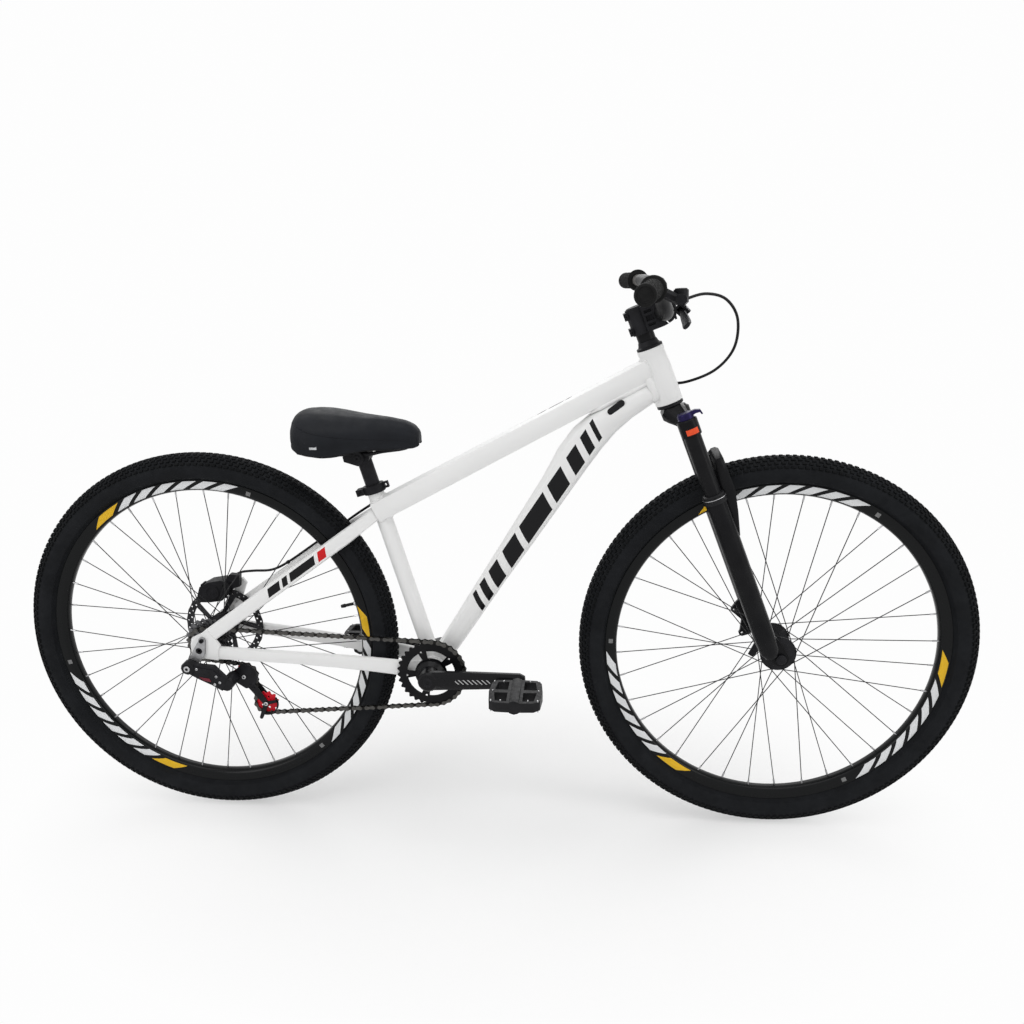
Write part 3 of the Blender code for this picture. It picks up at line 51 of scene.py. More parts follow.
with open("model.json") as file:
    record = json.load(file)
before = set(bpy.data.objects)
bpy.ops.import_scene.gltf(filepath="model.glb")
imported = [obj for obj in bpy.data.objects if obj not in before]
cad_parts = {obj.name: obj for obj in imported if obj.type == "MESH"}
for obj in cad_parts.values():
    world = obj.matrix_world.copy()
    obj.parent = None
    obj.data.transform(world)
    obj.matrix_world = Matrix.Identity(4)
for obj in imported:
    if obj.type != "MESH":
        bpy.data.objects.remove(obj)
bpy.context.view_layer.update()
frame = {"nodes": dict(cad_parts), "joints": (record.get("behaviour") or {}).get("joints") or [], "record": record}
MM = 0.001

JOINTS = {joint["name"]: joint for joint in frame["joints"]}
BODY_OF = {node: body for body, nodes in frame["record"]["behaviour"]["bodies"].items() for node in nodes}
SLOT_OF = {part["node"]: part["material_slot"] for part in frame["record"]["subparts"]}


def place_of(joint):
    return Vector(JOINTS[joint]["pos_m"])


REAR_AXLE = place_of("rear_wheel_spin")
FRONT_AXLE = place_of("front_wheel_spin")
BOTTOM_BRACKET = place_of("crank_spin")
STEER_FOOT = place_of("steering_turn")
STEER_UP = Vector(JOINTS["steering_turn"]["axis"])
SEAT_UP = Vector(JOINTS["seatpost_slide"]["axis"])
LEVER_PIN_UP = Vector(JOINTS["brake_lever_pull"]["axis"])
HANGER_BOLT = place_of("derailleur_swing")
CAGE_PIVOT = place_of("cage_swing")
UPPER_PULLEY = place_of("jockey_upper_spin")
LOWER_PULLEY = place_of("jockey_lower_spin")

# Sizes shared with the CAD, in millimetres and degrees
RIM_INNER = 295.6
RIM_OUTER = 317.0
RIM_HALF = 13.5
SPOKES = 36
CHAIN_PITCH = 12.7
CHAIN_LINE = 45.0
RING_TEETH = 32
SPROCKET_TEETH = 16
JOCKEY_TEETH = 11
TOOTH_FOOT = 4.2
CRANK_ANGLE = 3.4
ARM_Y = 76.0
LEG_SPREAD = 65.0
LEG_AHEAD = 15.0
SEAL_HEIGHT = 337.0
CLAMP_LOW = 450.0
CLAMP_HIGH = 480.0
HEAD_LOW = 506.0
HEAD_HIGH = 608.0
CUP_HIGH = 622.0
STEM_LOW = 636.0
STEM_HIGH = 682.0
HEAD_TUBE_R = 23.0
HEAD_TUBE_FOOT_R = 24.5
SEAT_TUBE_R = 15.5
SHELL_R = 21.0
STANCHION_R = 15.0
BAR_CENTRE = (42.0, 660.0)
TUBE_GAP = 0.3
DERAILLEUR_FACE = -93.1

AHEAD, UP = (1, 0, 0), (0, 0, 1)
LEFT, RIGHT = (0, 1, 0), (0, -1, 0)
SIDES = (("right", -1), ("left", 1))


def local(origin, ahead, up):
    """A group's own frame in millimetres: x ahead, y to the left, z up."""
    ahead, up = Vector(ahead).normalized(), Vector(up).normalized()
    turn = Matrix((ahead, up.cross(ahead), up)).transposed().to_4x4()
    return Matrix.Translation(origin) @ turn @ Matrix.Scale(MM, 4)


def level(origin):
    """A frame in millimetres that isn't turned."""
    return local(origin, AHEAD, UP)


GROUND = level((REAR_AXLE.x, 0, 0))
STEERING = local(STEER_FOOT, (STEER_UP.z, 0, -STEER_UP.x), STEER_UP)
SEATING = local(BOTTOM_BRACKET, (SEAT_UP.z, 0, -SEAT_UP.x), SEAT_UP)
CRANKING = local(BOTTOM_BRACKET, (cos(radians(CRANK_ANGLE)), 0, sin(radians(CRANK_ANGLE))),
                 (-sin(radians(CRANK_ANGLE)), 0, cos(radians(CRANK_ANGLE))))
FRONT = level(FRONT_AXLE)
REAR = level(REAR_AXLE)


# Sizes and colours that a user would change

class BicycleSizes(bpy.types.PropertyGroup):
    edge: FloatProperty(name="Edge", description="Width of the softened edges of cast and forged pieces",
                        default=0.0006, unit="LENGTH")
    weld: FloatProperty(name="Weld", description="Radius of the beads along the frame's welds",
                        default=0.0026, unit="LENGTH")
    knobs: IntProperty(name="Knobs", description="Tread knobs in one row round a tyre", default=186)
    spoke: FloatProperty(name="Spoke", description="Radius of a spoke's wire", default=0.0009, unit="LENGTH")
    ribs: IntProperty(name="Ribs", description="Ribs along a grip", default=26)


class BicycleColours(bpy.types.PropertyGroup):
    frame: FloatVectorProperty(name="Frame", description="Gloss paint of the frame", subtype="COLOR",
                               default=(0.88, 0.88, 0.875))
    marks: FloatVectorProperty(name="Marks", description="Stripes on the frame", subtype="COLOR",
                               default=(0.004, 0.004, 0.005))
    accent: FloatVectorProperty(name="Accent", description="Red block on the right seatstay",
                                subtype="COLOR", default=(0.62, 0.012, 0.015))
    rim_marks: FloatVectorProperty(name="Rim marks", description="Slanted bars on the rims",
                                   subtype="COLOR", default=(0.78, 0.79, 0.8))
    rim_accent: FloatVectorProperty(name="Rim accent", description="Yellow block beside the bars",
                                    subtype="COLOR", default=(0.8, 0.48, 0.025))
    tyre: FloatVectorProperty(name="Tyre", description="Tyre rubber", subtype="COLOR",
                              default=(0.0075, 0.0082, 0.0095))
    saddle: FloatVectorProperty(name="Saddle", description="Saddle cover", subtype="COLOR",
                                default=(0.0085, 0.0095, 0.012))
    pulley: FloatVectorProperty(name="Pulley", description="Jockey wheels", subtype="COLOR",
                                default=(0.55, 0.008, 0.02))
    knob: FloatVectorProperty(name="Knob", description="Lockout knob on the fork", subtype="COLOR",
                              default=(0.012, 0.009, 0.045))


# Finishes

class Recipe:
    """A material under construction; its nodes read object coordinates in metres."""

    def __init__(self, name, colour, roughness, metallic=0.0, coat=0.0, gleam=0.5):
        self.material = bpy.data.materials.new(name)
        self.material.use_nodes = True
        self.tree = self.material.node_tree
        self.shader = self.tree.nodes["Principled BSDF"]
        self.shader.inputs["Base Color"].default_value = (*colour, 1.0)
        self.shader.inputs["Roughness"].default_value = roughness
        self.shader.inputs["Metallic"].default_value = metallic
        self.shader.inputs["Coat Weight"].default_value = coat
        self.shader.inputs["Coat Roughness"].default_value = 0.08
        self.shader.inputs["Specular IOR Level"].default_value = gleam
        self.material.diffuse_color = (*colour, 1.0)
        self.place = self.add("ShaderNodeTexCoord").outputs["Object"]

    def add(self, kind, **settings):
        node = self.tree.nodes.new(kind)
        for key, value in settings.items():
            setattr(node, key, value)
        return node

    def feed(self, socket, value):
        if isinstance(value, bpy.types.NodeSocket):
            self.tree.links.new(value, socket)
        else:
            socket.default_value = value

    def math(self, operation, *values):
        node = self.add("ShaderNodeMath", operation=operation)
        for socket, value in zip(node.inputs, values):
            self.feed(socket, value)
        return node.outputs[0]

    def product(self, *values):
        result = values[0]
        for value in values[1:]:
            result = self.math("MULTIPLY", result, value)
        return result

    def between(self, value, low, high):
        """One where a value lies between two others, else zero."""
        return self.product(self.math("GREATER_THAN", value, low), self.math("LESS_THAN", value, high))

    def along(self, origin, direction):
        """How far a point lies along a direction from an origin, in metres."""
        shift = self.add("ShaderNodeVectorMath", operation="SUBTRACT")
        self.feed(shift.inputs[0], self.place)
        shift.inputs[1].default_value = origin
        dot = self.add("ShaderNodeVectorMath", operation="DOT_PRODUCT")
        self.feed(dot.inputs[0], shift.outputs[0])
        dot.inputs[1].default_value = direction
        return dot.outputs["Value"]

    def across(self):
        """How far to the left a point lies, in metres."""
        return self.along((0, 0, 0), LEFT)

    def noise(self, scale, detail=2.0):
        node = self.add("ShaderNodeTexNoise")
        node.inputs["Scale"].default_value = scale
        node.inputs["Detail"].default_value = detail
        self.feed(node.inputs["Vector"], self.place)
        return node.outputs["Fac"]

    def cells(self, scale):
        """How far a point lies from the nearest edge of a pattern of cells."""
        node = self.add("ShaderNodeTexVoronoi", feature="DISTANCE_TO_EDGE")
        node.inputs["Scale"].default_value = scale
        self.feed(node.inputs["Vector"], self.place)
        return node.outputs["Distance"]

    def span(self, value, from_low, from_high, low, high):
        """A value of one range carried over to another, and held inside it."""
        node = self.add("ShaderNodeMapRange")
        for socket, number in zip(node.inputs, (value, from_low, from_high, low, high)):
            self.feed(socket, number)
        return node.outputs[0]

    def mix(self, factor, first, second):
        node = self.add("ShaderNodeMix", data_type="RGBA")
        self.feed(node.inputs["Factor"], factor)
        for socket, colour in ((node.inputs[6], first), (node.inputs[7], second)):
            self.feed(socket, colour if isinstance(colour, bpy.types.NodeSocket) else (*colour, 1.0))
        return node.outputs[2]

    def colour(self, value):
        self.feed(self.shader.inputs["Base Color"], value)

    def vary(self, colour, other, scale):
        """Drifts the colour softly towards another one."""
        drift = self.span(self.noise(scale, 4.0), 0.35, 0.7, 0.0, 1.0)
        mixed = self.mix(drift, colour, other)
        self.colour(mixed)
        return mixed

    def rough(self, scale, low, high):
        """Lets the roughness wander between two values."""
        wander = self.span(self.noise(scale, 3.0), 0.3, 0.7, low, high)
        self.feed(self.shader.inputs["Roughness"], wander)

    def bump(self, height, distance, strength=1.0):
        node = self.add("ShaderNodeBump")
        node.inputs["Strength"].default_value = strength
        node.inputs["Distance"].default_value = distance
        self.feed(node.inputs["Height"], height)
        self.feed(self.shader.inputs["Normal"], node.outputs[0])


def shade(colour, factor):
    return tuple(min(channel * factor, 1.0) for channel in colour)


def white_paint(name, mark=None):
    """Gloss paint over cast and welded tube; mark adds stripes and returns the colour."""
    colours = bpy.context.scene.bicycle_colours
    recipe = Recipe(name, colours.frame, 0.32, coat=0.1, gleam=0.14)
    base = recipe.vary(colours.frame, shade(colours.frame, 0.985), 6.0)
    if mark:
        recipe.colour(mark(recipe, base))
    recipe.rough(40.0, 0.28, 0.36)
    recipe.bump(recipe.noise(260.0, 1.0), 0.00004)
    return recipe.material


def slanted_bars(recipe, reach, tall, half_height, bars):
    """Slanted bars along a tube: each is (start, end) in metres, leaning forward."""
    leaned = recipe.math("SUBTRACT", reach, recipe.product(tall, 0.55))
    inside = recipe.between(tall, -half_height, half_height)
    total = None
    for low, high in bars:
        bar = recipe.between(leaned, low, high)
        total = bar if total is None else recipe.math("ADD", total, bar)
    return recipe.product(inside, total)


def tube_axes(recipe, start, end):
    """How far a point lies along and above the line between two spots of the frame, in metres."""
    start, end = GROUND @ Vector(start), GROUND @ Vector(end)
    along = (end - start).normalized()
    return recipe.along(start, along), recipe.along(start, (-along.z, 0, along.x))


DOWN_TUBE_BARS = ((0.008, 0.02), (0.032, 0.05), (0.064, 0.094), (0.112, 0.156), (0.170, 0.250),
                  (0.264, 0.308), (0.326, 0.356), (0.370, 0.388), (0.4, 0.41))
SEATSTAY_BARS = ((0.002, 0.03), (0.036, 0.048), (0.054, 0.112))
SEATSTAY_BLOCK = ((0.12, 0.138),)
TOP_TUBE_BARS = ((0.0, 0.016), (0.022, 0.05), (0.056, 0.066))


def down_tube_marks(recipe, base):
    reach, tall = tube_axes(recipe, (521.0, 0, 444.6), (751.0, 0, 792.8))
    bars = slanted_bars(recipe, reach, tall, 0.0165, DOWN_TUBE_BARS)
    return recipe.mix(bars, base, bpy.context.scene.bicycle_colours.marks)


def seatstay_marks(recipe, base):
    """Black bars and a red block, on the right seatstay alone."""
    colours = bpy.context.scene.bicycle_colours
    reach, tall = tube_axes(recipe, (136.9, 0, 479.2), (253.0, 0, 561.8))
    right = recipe.math("LESS_THAN", recipe.across(), 0.0)
    black = slanted_bars(recipe, reach, tall, 0.0078, SEATSTAY_BARS)
    red = slanted_bars(recipe, reach, tall, 0.0085, SEATSTAY_BLOCK)
    dark = recipe.mix(recipe.product(black, right), base, colours.marks)
    return recipe.mix(recipe.product(red, right), dark, colours.accent)


def top_tube_marks(recipe, base):
    reach, tall = tube_axes(recipe, (660.0, 0, 773.0), (1114.0, 0, 1015.5))
    upper = recipe.math("GREATER_THAN", tall, 0.0195)
    bars = slanted_bars(recipe, reach, recipe.across(), 0.0045, TOP_TUBE_BARS)
    return recipe.mix(recipe.product(bars, upper), base, bpy.context.scene.bicycle_colours.marks)


GLOSS = (0.005, 0.005, 0.006)


def gloss_recipe(name):
    recipe = Recipe(name, GLOSS, 0.35, coat=0.05, gleam=0.08)
    recipe.rough(60.0, 0.3, 0.42)
    recipe.bump(recipe.noise(300.0, 1.0), 0.00003)
    return recipe


def gloss_black(name):
    recipe = gloss_recipe(name)
    recipe.vary(GLOSS, (0.009, 0.009, 0.01), 30.0)
    return recipe.material


def satin_black(name, colour=(0.009, 0.009, 0.0105), metallic=0.1, low=0.42, high=0.56):
    """Shot-blasted and anodised alloy: fine grain and faint brushed wear."""
    recipe = Recipe(name, colour, low, metallic, gleam=0.15)
    recipe.vary(colour, shade(colour, 1.7), 70.0)
    recipe.rough(120.0, low, high)
    recipe.bump(recipe.noise(1400.0, 2.0), 0.00005)
    return recipe.material


def bare_metal(name, colour, low=0.22, high=0.4):
    recipe = Recipe(name, colour, low, 1.0)
    recipe.vary(colour, shade(colour, 0.72), 160.0)
    recipe.rough(220.0, low, high)
    recipe.bump(recipe.noise(900.0, 2.0), 0.00003)
    return recipe.material


def rim_paint(name, centre, phase):
    """Gloss black with three sets of slanted bars, a small grey one and a yellow one, on both flanks."""
    colours = bpy.context.scene.bicycle_colours
    black = (0.004, 0.0045, 0.005)
    recipe = Recipe(name, black, 0.24, coat=0.1, gleam=0.1)
    ahead = recipe.along(centre, AHEAD)
    high = recipe.along(centre, UP)
    radius = recipe.math("SQRT", recipe.math("ADD", recipe.product(ahead, ahead), recipe.product(high, high)))
    turn = recipe.math("ARCTAN2", high, ahead)
    slant = recipe.product(recipe.math("SUBTRACT", radius, 0.307), 6.0)
    share = recipe.math("ADD", recipe.product(turn, 1 / (2 * pi)), 1.0 - phase / 360.0)
    third = recipe.product(recipe.math("FRACT", recipe.product(share, 3.0)), 120.0)
    leaned = recipe.math("ADD", third, recipe.product(slant, 57.3))
    flank = recipe.between(radius, 0.2995, 0.3152)
    beat = recipe.math("FRACT", recipe.product(leaned, 1 / 7.4))
    bars = recipe.product(recipe.between(leaned, 5.0, 49.4), recipe.math("LESS_THAN", beat, 0.66), flank)
    yellow = recipe.product(recipe.between(leaned, 52.0, 61.0), recipe.between(radius, 0.3005, 0.3142))
    grey = recipe.product(recipe.between(third, -0.1, 1.6), recipe.between(radius, 0.303, 0.311))
    colour = recipe.mix(bars, black, colours.rim_marks)
    colour = recipe.mix(yellow, colour, colours.rim_accent)
    colour = recipe.mix(grey, colour, (0.2, 0.2, 0.2))
    recipe.colour(colour)
    recipe.rough(50.0, 0.2, 0.3)
    return recipe.material


def tyre_rubber(name, colour):
    recipe = Recipe(name, colour, 0.72, gleam=0.1)
    recipe.vary(colour, shade(colour, 1.5), 26.0)
    recipe.rough(90.0, 0.58, 0.78)
    recipe.bump(recipe.noise(700.0, 3.0), 0.00015)
    return recipe.material


def grip_rubber(name):
    recipe = Recipe(name, (0.009, 0.009, 0.009), 0.75, gleam=0.12)
    recipe.vary((0.008, 0.008, 0.008), (0.014, 0.014, 0.014), 60.0)
    recipe.bump(recipe.noise(1200.0, 2.0), 0.0001)
    return recipe.material


def saddle_vinyl(name):
    """Bluish black artificial leather with a fine pebble grain."""
    colour = bpy.context.scene.bicycle_colours.saddle
    recipe = Recipe(name, colour, 0.55, gleam=0.14)
    recipe.vary(colour, shade(colour, 1.4), 22.0)
    recipe.rough(45.0, 0.48, 0.64)
    grain = recipe.math("ADD", recipe.cells(700.0), recipe.product(recipe.noise(1500.0, 2.0), 0.3))
    recipe.bump(grain, 0.00012, 0.6)
    return recipe.material


def moulded_plastic(name, colour, low=0.35, high=0.55):
    recipe = Recipe(name, colour, low, gleam=0.16)
    recipe.vary(colour, shade(colour, 1.4), 80.0)
    recipe.rough(140.0, low, high)
    recipe.bump(recipe.noise(1100.0, 2.0), 0.00006)
    return recipe.material


def bar_finish(name):
    """Satin black tube with the bare grey stretch beside the left grip."""
    black = (0.008, 0.008, 0.009)
    recipe = Recipe(name, black, 0.4, 0.1, gleam=0.15)
    bare = recipe.between(recipe.across(), 0.196, 0.24)
    recipe.colour(recipe.mix(bare, black, (0.13, 0.125, 0.12)))
    recipe.rough(150.0, 0.34, 0.46)
    recipe.bump(recipe.noise(900.0, 2.0), 0.00004)
    return recipe.material


def crank_finish(name):
    """Black paint with a row of fine pale strokes on the arms' outer faces."""
    black = (0.006, 0.006, 0.007)
    recipe = Recipe(name, black, 0.3, coat=0.08, gleam=0.12)
    turn, centre = CRANKING.to_3x3(), tuple(BOTTOM_BRACKET)
    reach = recipe.math("ABSOLUTE", recipe.along(centre, tuple((turn @ Vector(AHEAD)).normalized())))
    tall = recipe.along(centre, tuple((turn @ Vector(UP)).normalized()))
    beat = recipe.math("FRACT", recipe.product(recipe.math("ADD", reach, tall), 1 / 0.0088))
    strokes = recipe.product(recipe.math("LESS_THAN", beat, 0.3), recipe.between(reach, 0.052, 0.118),
                             recipe.between(tall, -0.0045, 0.0045),
                             recipe.math("GREATER_THAN", recipe.math("ABSOLUTE", recipe.across()), 0.082))
    recipe.colour(recipe.mix(strokes, black, (0.5, 0.5, 0.5)))
    recipe.rough(90.0, 0.24, 0.34)
    return recipe.material


def fork_finish(name):
    """Gloss black casting with one small plain sticker on the right leg's clamp."""
    recipe = gloss_recipe(name)
    spot = tuple(STEERING @ Vector((LEG_AHEAD + 1, -LEG_SPREAD, CLAMP_LOW + 9)))
    ahead = (STEERING.to_3x3() @ Vector(AHEAD)).normalized()
    block = recipe.product(recipe.between(recipe.along(spot, tuple(ahead)), -0.009, 0.012),
                           recipe.between(recipe.along(spot, tuple(STEER_UP)), -0.005, 0.005),
                           recipe.math("LESS_THAN", recipe.across(), -0.07))
    recipe.colour(recipe.mix(block, GLOSS, (0.86, 0.1, 0.035)))
    return recipe.material


FINISHES = {}
# The slot that goes with a finish, where a piece names no slot of its own
SLOTS = {
    "frame": "frame_paint", "gloss": "gloss_black", "front_rim": "gloss_black", "rear_rim": "gloss_black",
    "satin": "satin_black", "rotor": "satin_black", "bar": "satin_black", "grip": "grip_rubber",
    "tyre": "tyre_rubber", "knobs": "tyre_rubber", "vinyl": "saddle_vinyl", "plastic": "black_plastic",
    "hose": "black_plastic", "tag": "black_plastic", "steel": "bare_steel", "spoke": "spoke_steel",
    "chain": "chain_steel", "chain_core": "chain_steel", "cogs": "grey_alloy", "red": "red_plastic",
    "insert": "red_plastic",
}


def mix_finishes():
    colours = bpy.context.scene.bicycle_colours
    FINISHES.update({
        "frame": white_paint("frame_paint"),
        "down": white_paint("down_tube_paint", down_tube_marks),
        "stay": white_paint("seatstay_paint", seatstay_marks),
        "top": white_paint("top_tube_paint", top_tube_marks),
        "gloss": gloss_black("black_gloss"),
        "fork": fork_finish("fork_gloss"),
        "crank": crank_finish("crank_paint"),
        "satin": satin_black("black_satin"),
        "rotor": satin_black("dark_rotor", (0.025, 0.025, 0.027), 0.5, 0.28, 0.42),
        "bar": bar_finish("bar_satin"),
        "front_rim": rim_paint("front_rim_gloss", tuple(FRONT_AXLE), 57.5),
        "rear_rim": rim_paint("rear_rim_gloss", tuple(REAR_AXLE), 70.5),
        "tyre": tyre_rubber("tyre_rubber", colours.tyre),
        # The knobs get a darker copy of the tyre rubber: painted shade, so that the tread stands apart from the
        # casing the way shading between the knobs would make it.
        "knobs": tyre_rubber("knob_rubber_painted_shade", shade(colours.tyre, 0.45)),
        "grip": grip_rubber("grip_rubber"),
        "vinyl": saddle_vinyl("saddle_vinyl"),
        "plastic": moulded_plastic("black_plastic", (0.009, 0.009, 0.01)),
        "hose": moulded_plastic("hose_plastic", (0.006, 0.006, 0.007), 0.25, 0.35),
        "steel": bare_metal("bare_steel", (0.56, 0.56, 0.57)),
        "spoke": satin_black("black_spoke", (0.02, 0.02, 0.021), 0.4, 0.3, 0.4),
        "chain": bare_metal("chain_steel", (0.1, 0.097, 0.092), 0.35, 0.5),
        "chain_core": bare_metal("chain_core_steel", (0.022, 0.021, 0.02), 0.4, 0.55),
        "cogs": bare_metal("grey_cogs", (0.15, 0.15, 0.155), 0.35, 0.5),
        "alloy": bare_metal("grey_alloy", (0.42, 0.42, 0.43), 0.35, 0.5),
        "red": moulded_plastic("red_plastic", colours.pulley, 0.25, 0.4),
        "insert": moulded_plastic("red_insert", (0.13, 0.02, 0.03), 0.2, 0.3),
        "violet": satin_black("violet_alloy", colours.knob, 0.5, 0.25, 0.35),
        "tag": moulded_plastic("pale_tag", (0.45, 0.46, 0.47)),
    })


# Mesh helpers, in millimetres

def turned(profile, steps=64, axis=LEFT, centre=(0, 0, 0)):
    """A closed loop of (along, radius) pairs turned round an axis."""
    axis, centre = Vector(axis).normalized(), Vector(centre)
    guide = Vector(UP if abs(axis.z) < 0.9 else AHEAD)
    out = (guide - axis * guide.dot(axis)).normalized()
    bm = bmesh.new()
    verts = [bm.verts.new(centre + axis * along + out * radius) for along, radius in profile]
    edges = [bm.edges.new(pair) for pair in zip(verts, verts[1:] + verts[:1])]
    bmesh.ops.spin(bm, geom=verts + edges, cent=centre, axis=axis, angle=2 * pi, steps=steps, use_merge=True)
    bmesh.ops.remove_doubles(bm, verts=bm.verts, dist=0.001)
    return bm


def rod(bm, start, end, radius, sides=12, end_radius=None):
    """Adds a cylinder or cone between two points."""
    start, end = Vector(start), Vector(end)
    reach = end - start
    place = Matrix.Translation((start + end) / 2) @ reach.to_track_quat("Z", "Y").to_matrix().to_4x4()
    bmesh.ops.create_cone(bm, cap_ends=True, segments=sides, radius1=radius,
                          radius2=radius if end_radius is None else end_radius,
                          depth=reach.length, matrix=place)


def bolt(bm, head, axis, radius, height, socket):
    """Adds a socket-head bolt whose head stands on a point."""
    join(bm, turned([(0, 0), (0, radius), (height - 0.6, radius), (height, radius - 0.6), (height, socket),
                     (height - 2.2, socket * 0.9), (height - 2.2, 0)], 18, axis, head))


def join(bm, other):
    """Moves another bmesh's shape into this one."""
    mesh = bpy.data.meshes.new("joined")
    other.to_mesh(mesh)
    other.free()
    bm.from_mesh(mesh)
    bpy.data.meshes.remove(mesh)


def arc(centre, radius, first, last, count):
    points = []
    for index in range(count):
        angle = radians(first + (last - first) * index / (count - 1))
        points.append((centre[0] + radius * cos(angle), centre[1] + radius * sin(angle)))
    return points


def polar(radius, angle):
    """The point at a radius and an angle in degrees."""
    return radius * cos(radians(angle)), radius * sin(radians(angle))


def ring(centre, radius, count=32):
    return arc(centre, radius, 0, 360 - 360 / count, count)


def plate(outline, low, high, holes=()):
    """A plate across the bicycle from filled (x, z) outlines, between two places along Y."""
    curve = bpy.data.curves.new("outline", "CURVE")
    curve.dimensions = "2D"
    curve.fill_mode = "BOTH"
    curve.extrude = (high - low) / 2
    for loop in (outline, *holes):
        spline = curve.splines.new("POLY")
        spline.points.add(len(loop) - 1)
        for point, (x, z) in zip(spline.points, loop):
            point.co = (x, z, 0.0, 1.0)
        spline.use_cyclic_u = True
    bm = from_curve(curve)
    bmesh.ops.rotate(bm, cent=(0, 0, 0), matrix=Matrix.Rotation(pi / 2, 3, "X"), verts=bm.verts)
    bmesh.ops.translate(bm, vec=(0, (low + high) / 2, 0), verts=bm.verts)
    return bm


def from_curve(curve):
    carrier = bpy.data.objects.new("carrier", curve)
    mesh = bpy.data.meshes.new_from_object(carrier)
    bm = bmesh.new()
    bm.from_mesh(mesh)
    bpy.data.objects.remove(carrier)
    bpy.data.curves.remove(curve)
    bpy.data.meshes.remove(mesh)
    bmesh.ops.remove_doubles(bm, verts=bm.verts, dist=0.001)
    return bm


def smooth_path(points, step):
    """Points about a step apart on a smooth curve through a few chosen ones."""
    knots = [Vector(point) for point in points]
    knots = [2 * knots[0] - knots[1], *knots, 2 * knots[-1] - knots[-2]]
    path = []
    for a, b, c, d in zip(knots, knots[1:], knots[2:], knots[3:]):
        count = max(int((c - b).length / step), 1)
        for index in range(count):
            t = index / count
            path.append(0.5 * (2 * b + (c - a) * t + (2 * a - 5 * b + 4 * c - d) * t * t
                               + (3 * b - a - 3 * c + d) * t ** 3))
    path.append(knots[-2])
    return path


def swept(path, radii, resolution=4):
    """A round tube along points, with a radius for each or for all."""
    curve = bpy.data.curves.new("sweep", "CURVE")
    curve.dimensions = "3D"
    curve.bevel_depth = 1.0
    curve.bevel_resolution = resolution
    curve.use_fill_caps = True
    spline = curve.splines.new("POLY")
    spline.points.add(len(path) - 1)
    for index, (point, spot) in enumerate(zip(spline.points, path)):
        point.co = (*spot, 1.0)
        point.radius = radii if isinstance(radii, float) else radii[index]
    return from_curve(curve)


# Finishing pieces

def piece(name, bm, place, body, finish, stands_for=(), sharp=35.0, slot=None):
    """Turns a bmesh into a named piece that rides on a body of the frame, if one is given."""
    slot = slot or SLOTS[finish]
    bmesh.ops.transform(bm, matrix=place, verts=bm.verts)
    bmesh.ops.recalc_face_normals(bm, faces=bm.faces)
    mesh = bpy.data.meshes.new(name)
    bm.to_mesh(mesh)
    bm.free()
    mesh.shade_smooth()
    if sharp:
        mesh.set_sharp_from_angle(angle=radians(sharp))
    mesh.materials.append(FINISHES[finish])
    thing = bpy.data.objects.new(name, mesh)
    bpy.context.scene.collection.objects.link(thing)
    if body:
        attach(thing, body)
    if stands_for:
        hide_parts(*stands_for)
    return thing


def bolts(name, place, body, finish, *heads):
    """A piece of bolts, each given by where its head stands, its axis, radius, height and socket."""
    bm = bmesh.new()
    for head in heads:
        bolt(bm, *head)
    piece(name, bm, place, body, finish)


def node_mesh(node):
    """A copy of a CAD node's mesh, its loose triangles joined into flat faces."""
    bm = bmesh.new()
    bm.from_mesh(frame["nodes"][node].data)
    bmesh.ops.remove_doubles(bm, verts=bm.verts, dist=0.00002)
    bmesh.ops.dissolve_limit(bm, angle_limit=radians(0.8), verts=bm.verts, edges=bm.edges)
    return bm


def soften(thing, width):
    """Rounds a piece's sharp edges a little, so that they catch the light."""
    bevel = thing.modifiers.new("soft edges", "BEVEL")
    bevel.width = width
    bevel.segments = 2
    bevel.limit_method = "ANGLE"
    bevel.angle_limit = radians(40.0)
    normals = thing.modifiers.new("even shading", "WEIGHTED_NORMAL")
    normals.keep_sharp = True


def carried(node, finish, edge=None):
    """A CAD node's shape with soft edges and its own finish."""
    thing = piece(f"{node}_dressed", node_mesh(node), Matrix.Identity(4), BODY_OF[node], finish, (node,), 0,
                  SLOT_OF[node])
    soften(thing, bpy.context.scene.bicycle_sizes.edge if edge is None else edge)


def seam_edges(node, origin, axis, radius):
    """Both ends of each sharp edge of a tube that lies on another round tube."""
    bm = node_mesh(node)
    axis = Vector(axis).normalized()

    def off(vert):
        arm = vert.co - origin
        return abs((arm - axis * arm.dot(axis)).length - radius)

    found = [(edge.verts[0].co.copy(), edge.verts[1].co.copy()) for edge in bm.edges
             if edge.is_manifold and edge.calc_face_angle() > radians(30)
             and all(off(vert) < 0.0013 for vert in edge.verts)]
    bm.free()
    if not found:
        raise ValueError(f"no seam found on {node}")
    return found


def weld(name, node, origin, axis, radius):
    """Overlapping beads along the joint between a tube's end and the tube that it's welded to."""
    size = bpy.context.scene.bicycle_sizes.weld
    bm = bmesh.new()
    for a, b in seam_edges(node, origin, axis, (radius + TUBE_GAP) * MM):
        count = max(round((b - a).length / size), 1)
        for index in range(count):
            spot = Matrix.Translation(a.lerp(b, (index + 0.5) / count))
            bmesh.ops.create_uvsphere(bm, u_segments=8, v_segments=5, radius=size, matrix=spot)
    piece(name, bm, Matrix.Identity(4), BODY_OF[node], "frame", sharp=0, slot=SLOT_OF[node])


# The frame

# Where the top tube runs into the down tube, on the left
FILLET_CREASE = ((731, 13.5, 809.5), (745, 15.5, 818), (778, 16, 835.6), (818, 16, 857.0), (832, 15.5, 864.6))
FILLET_R = 4.4
PORT_ENDS = (Vector((770.0, -26.6, 816.5)), Vector((788.0, -26.2, 831.0)))
PORT_R = 6.0


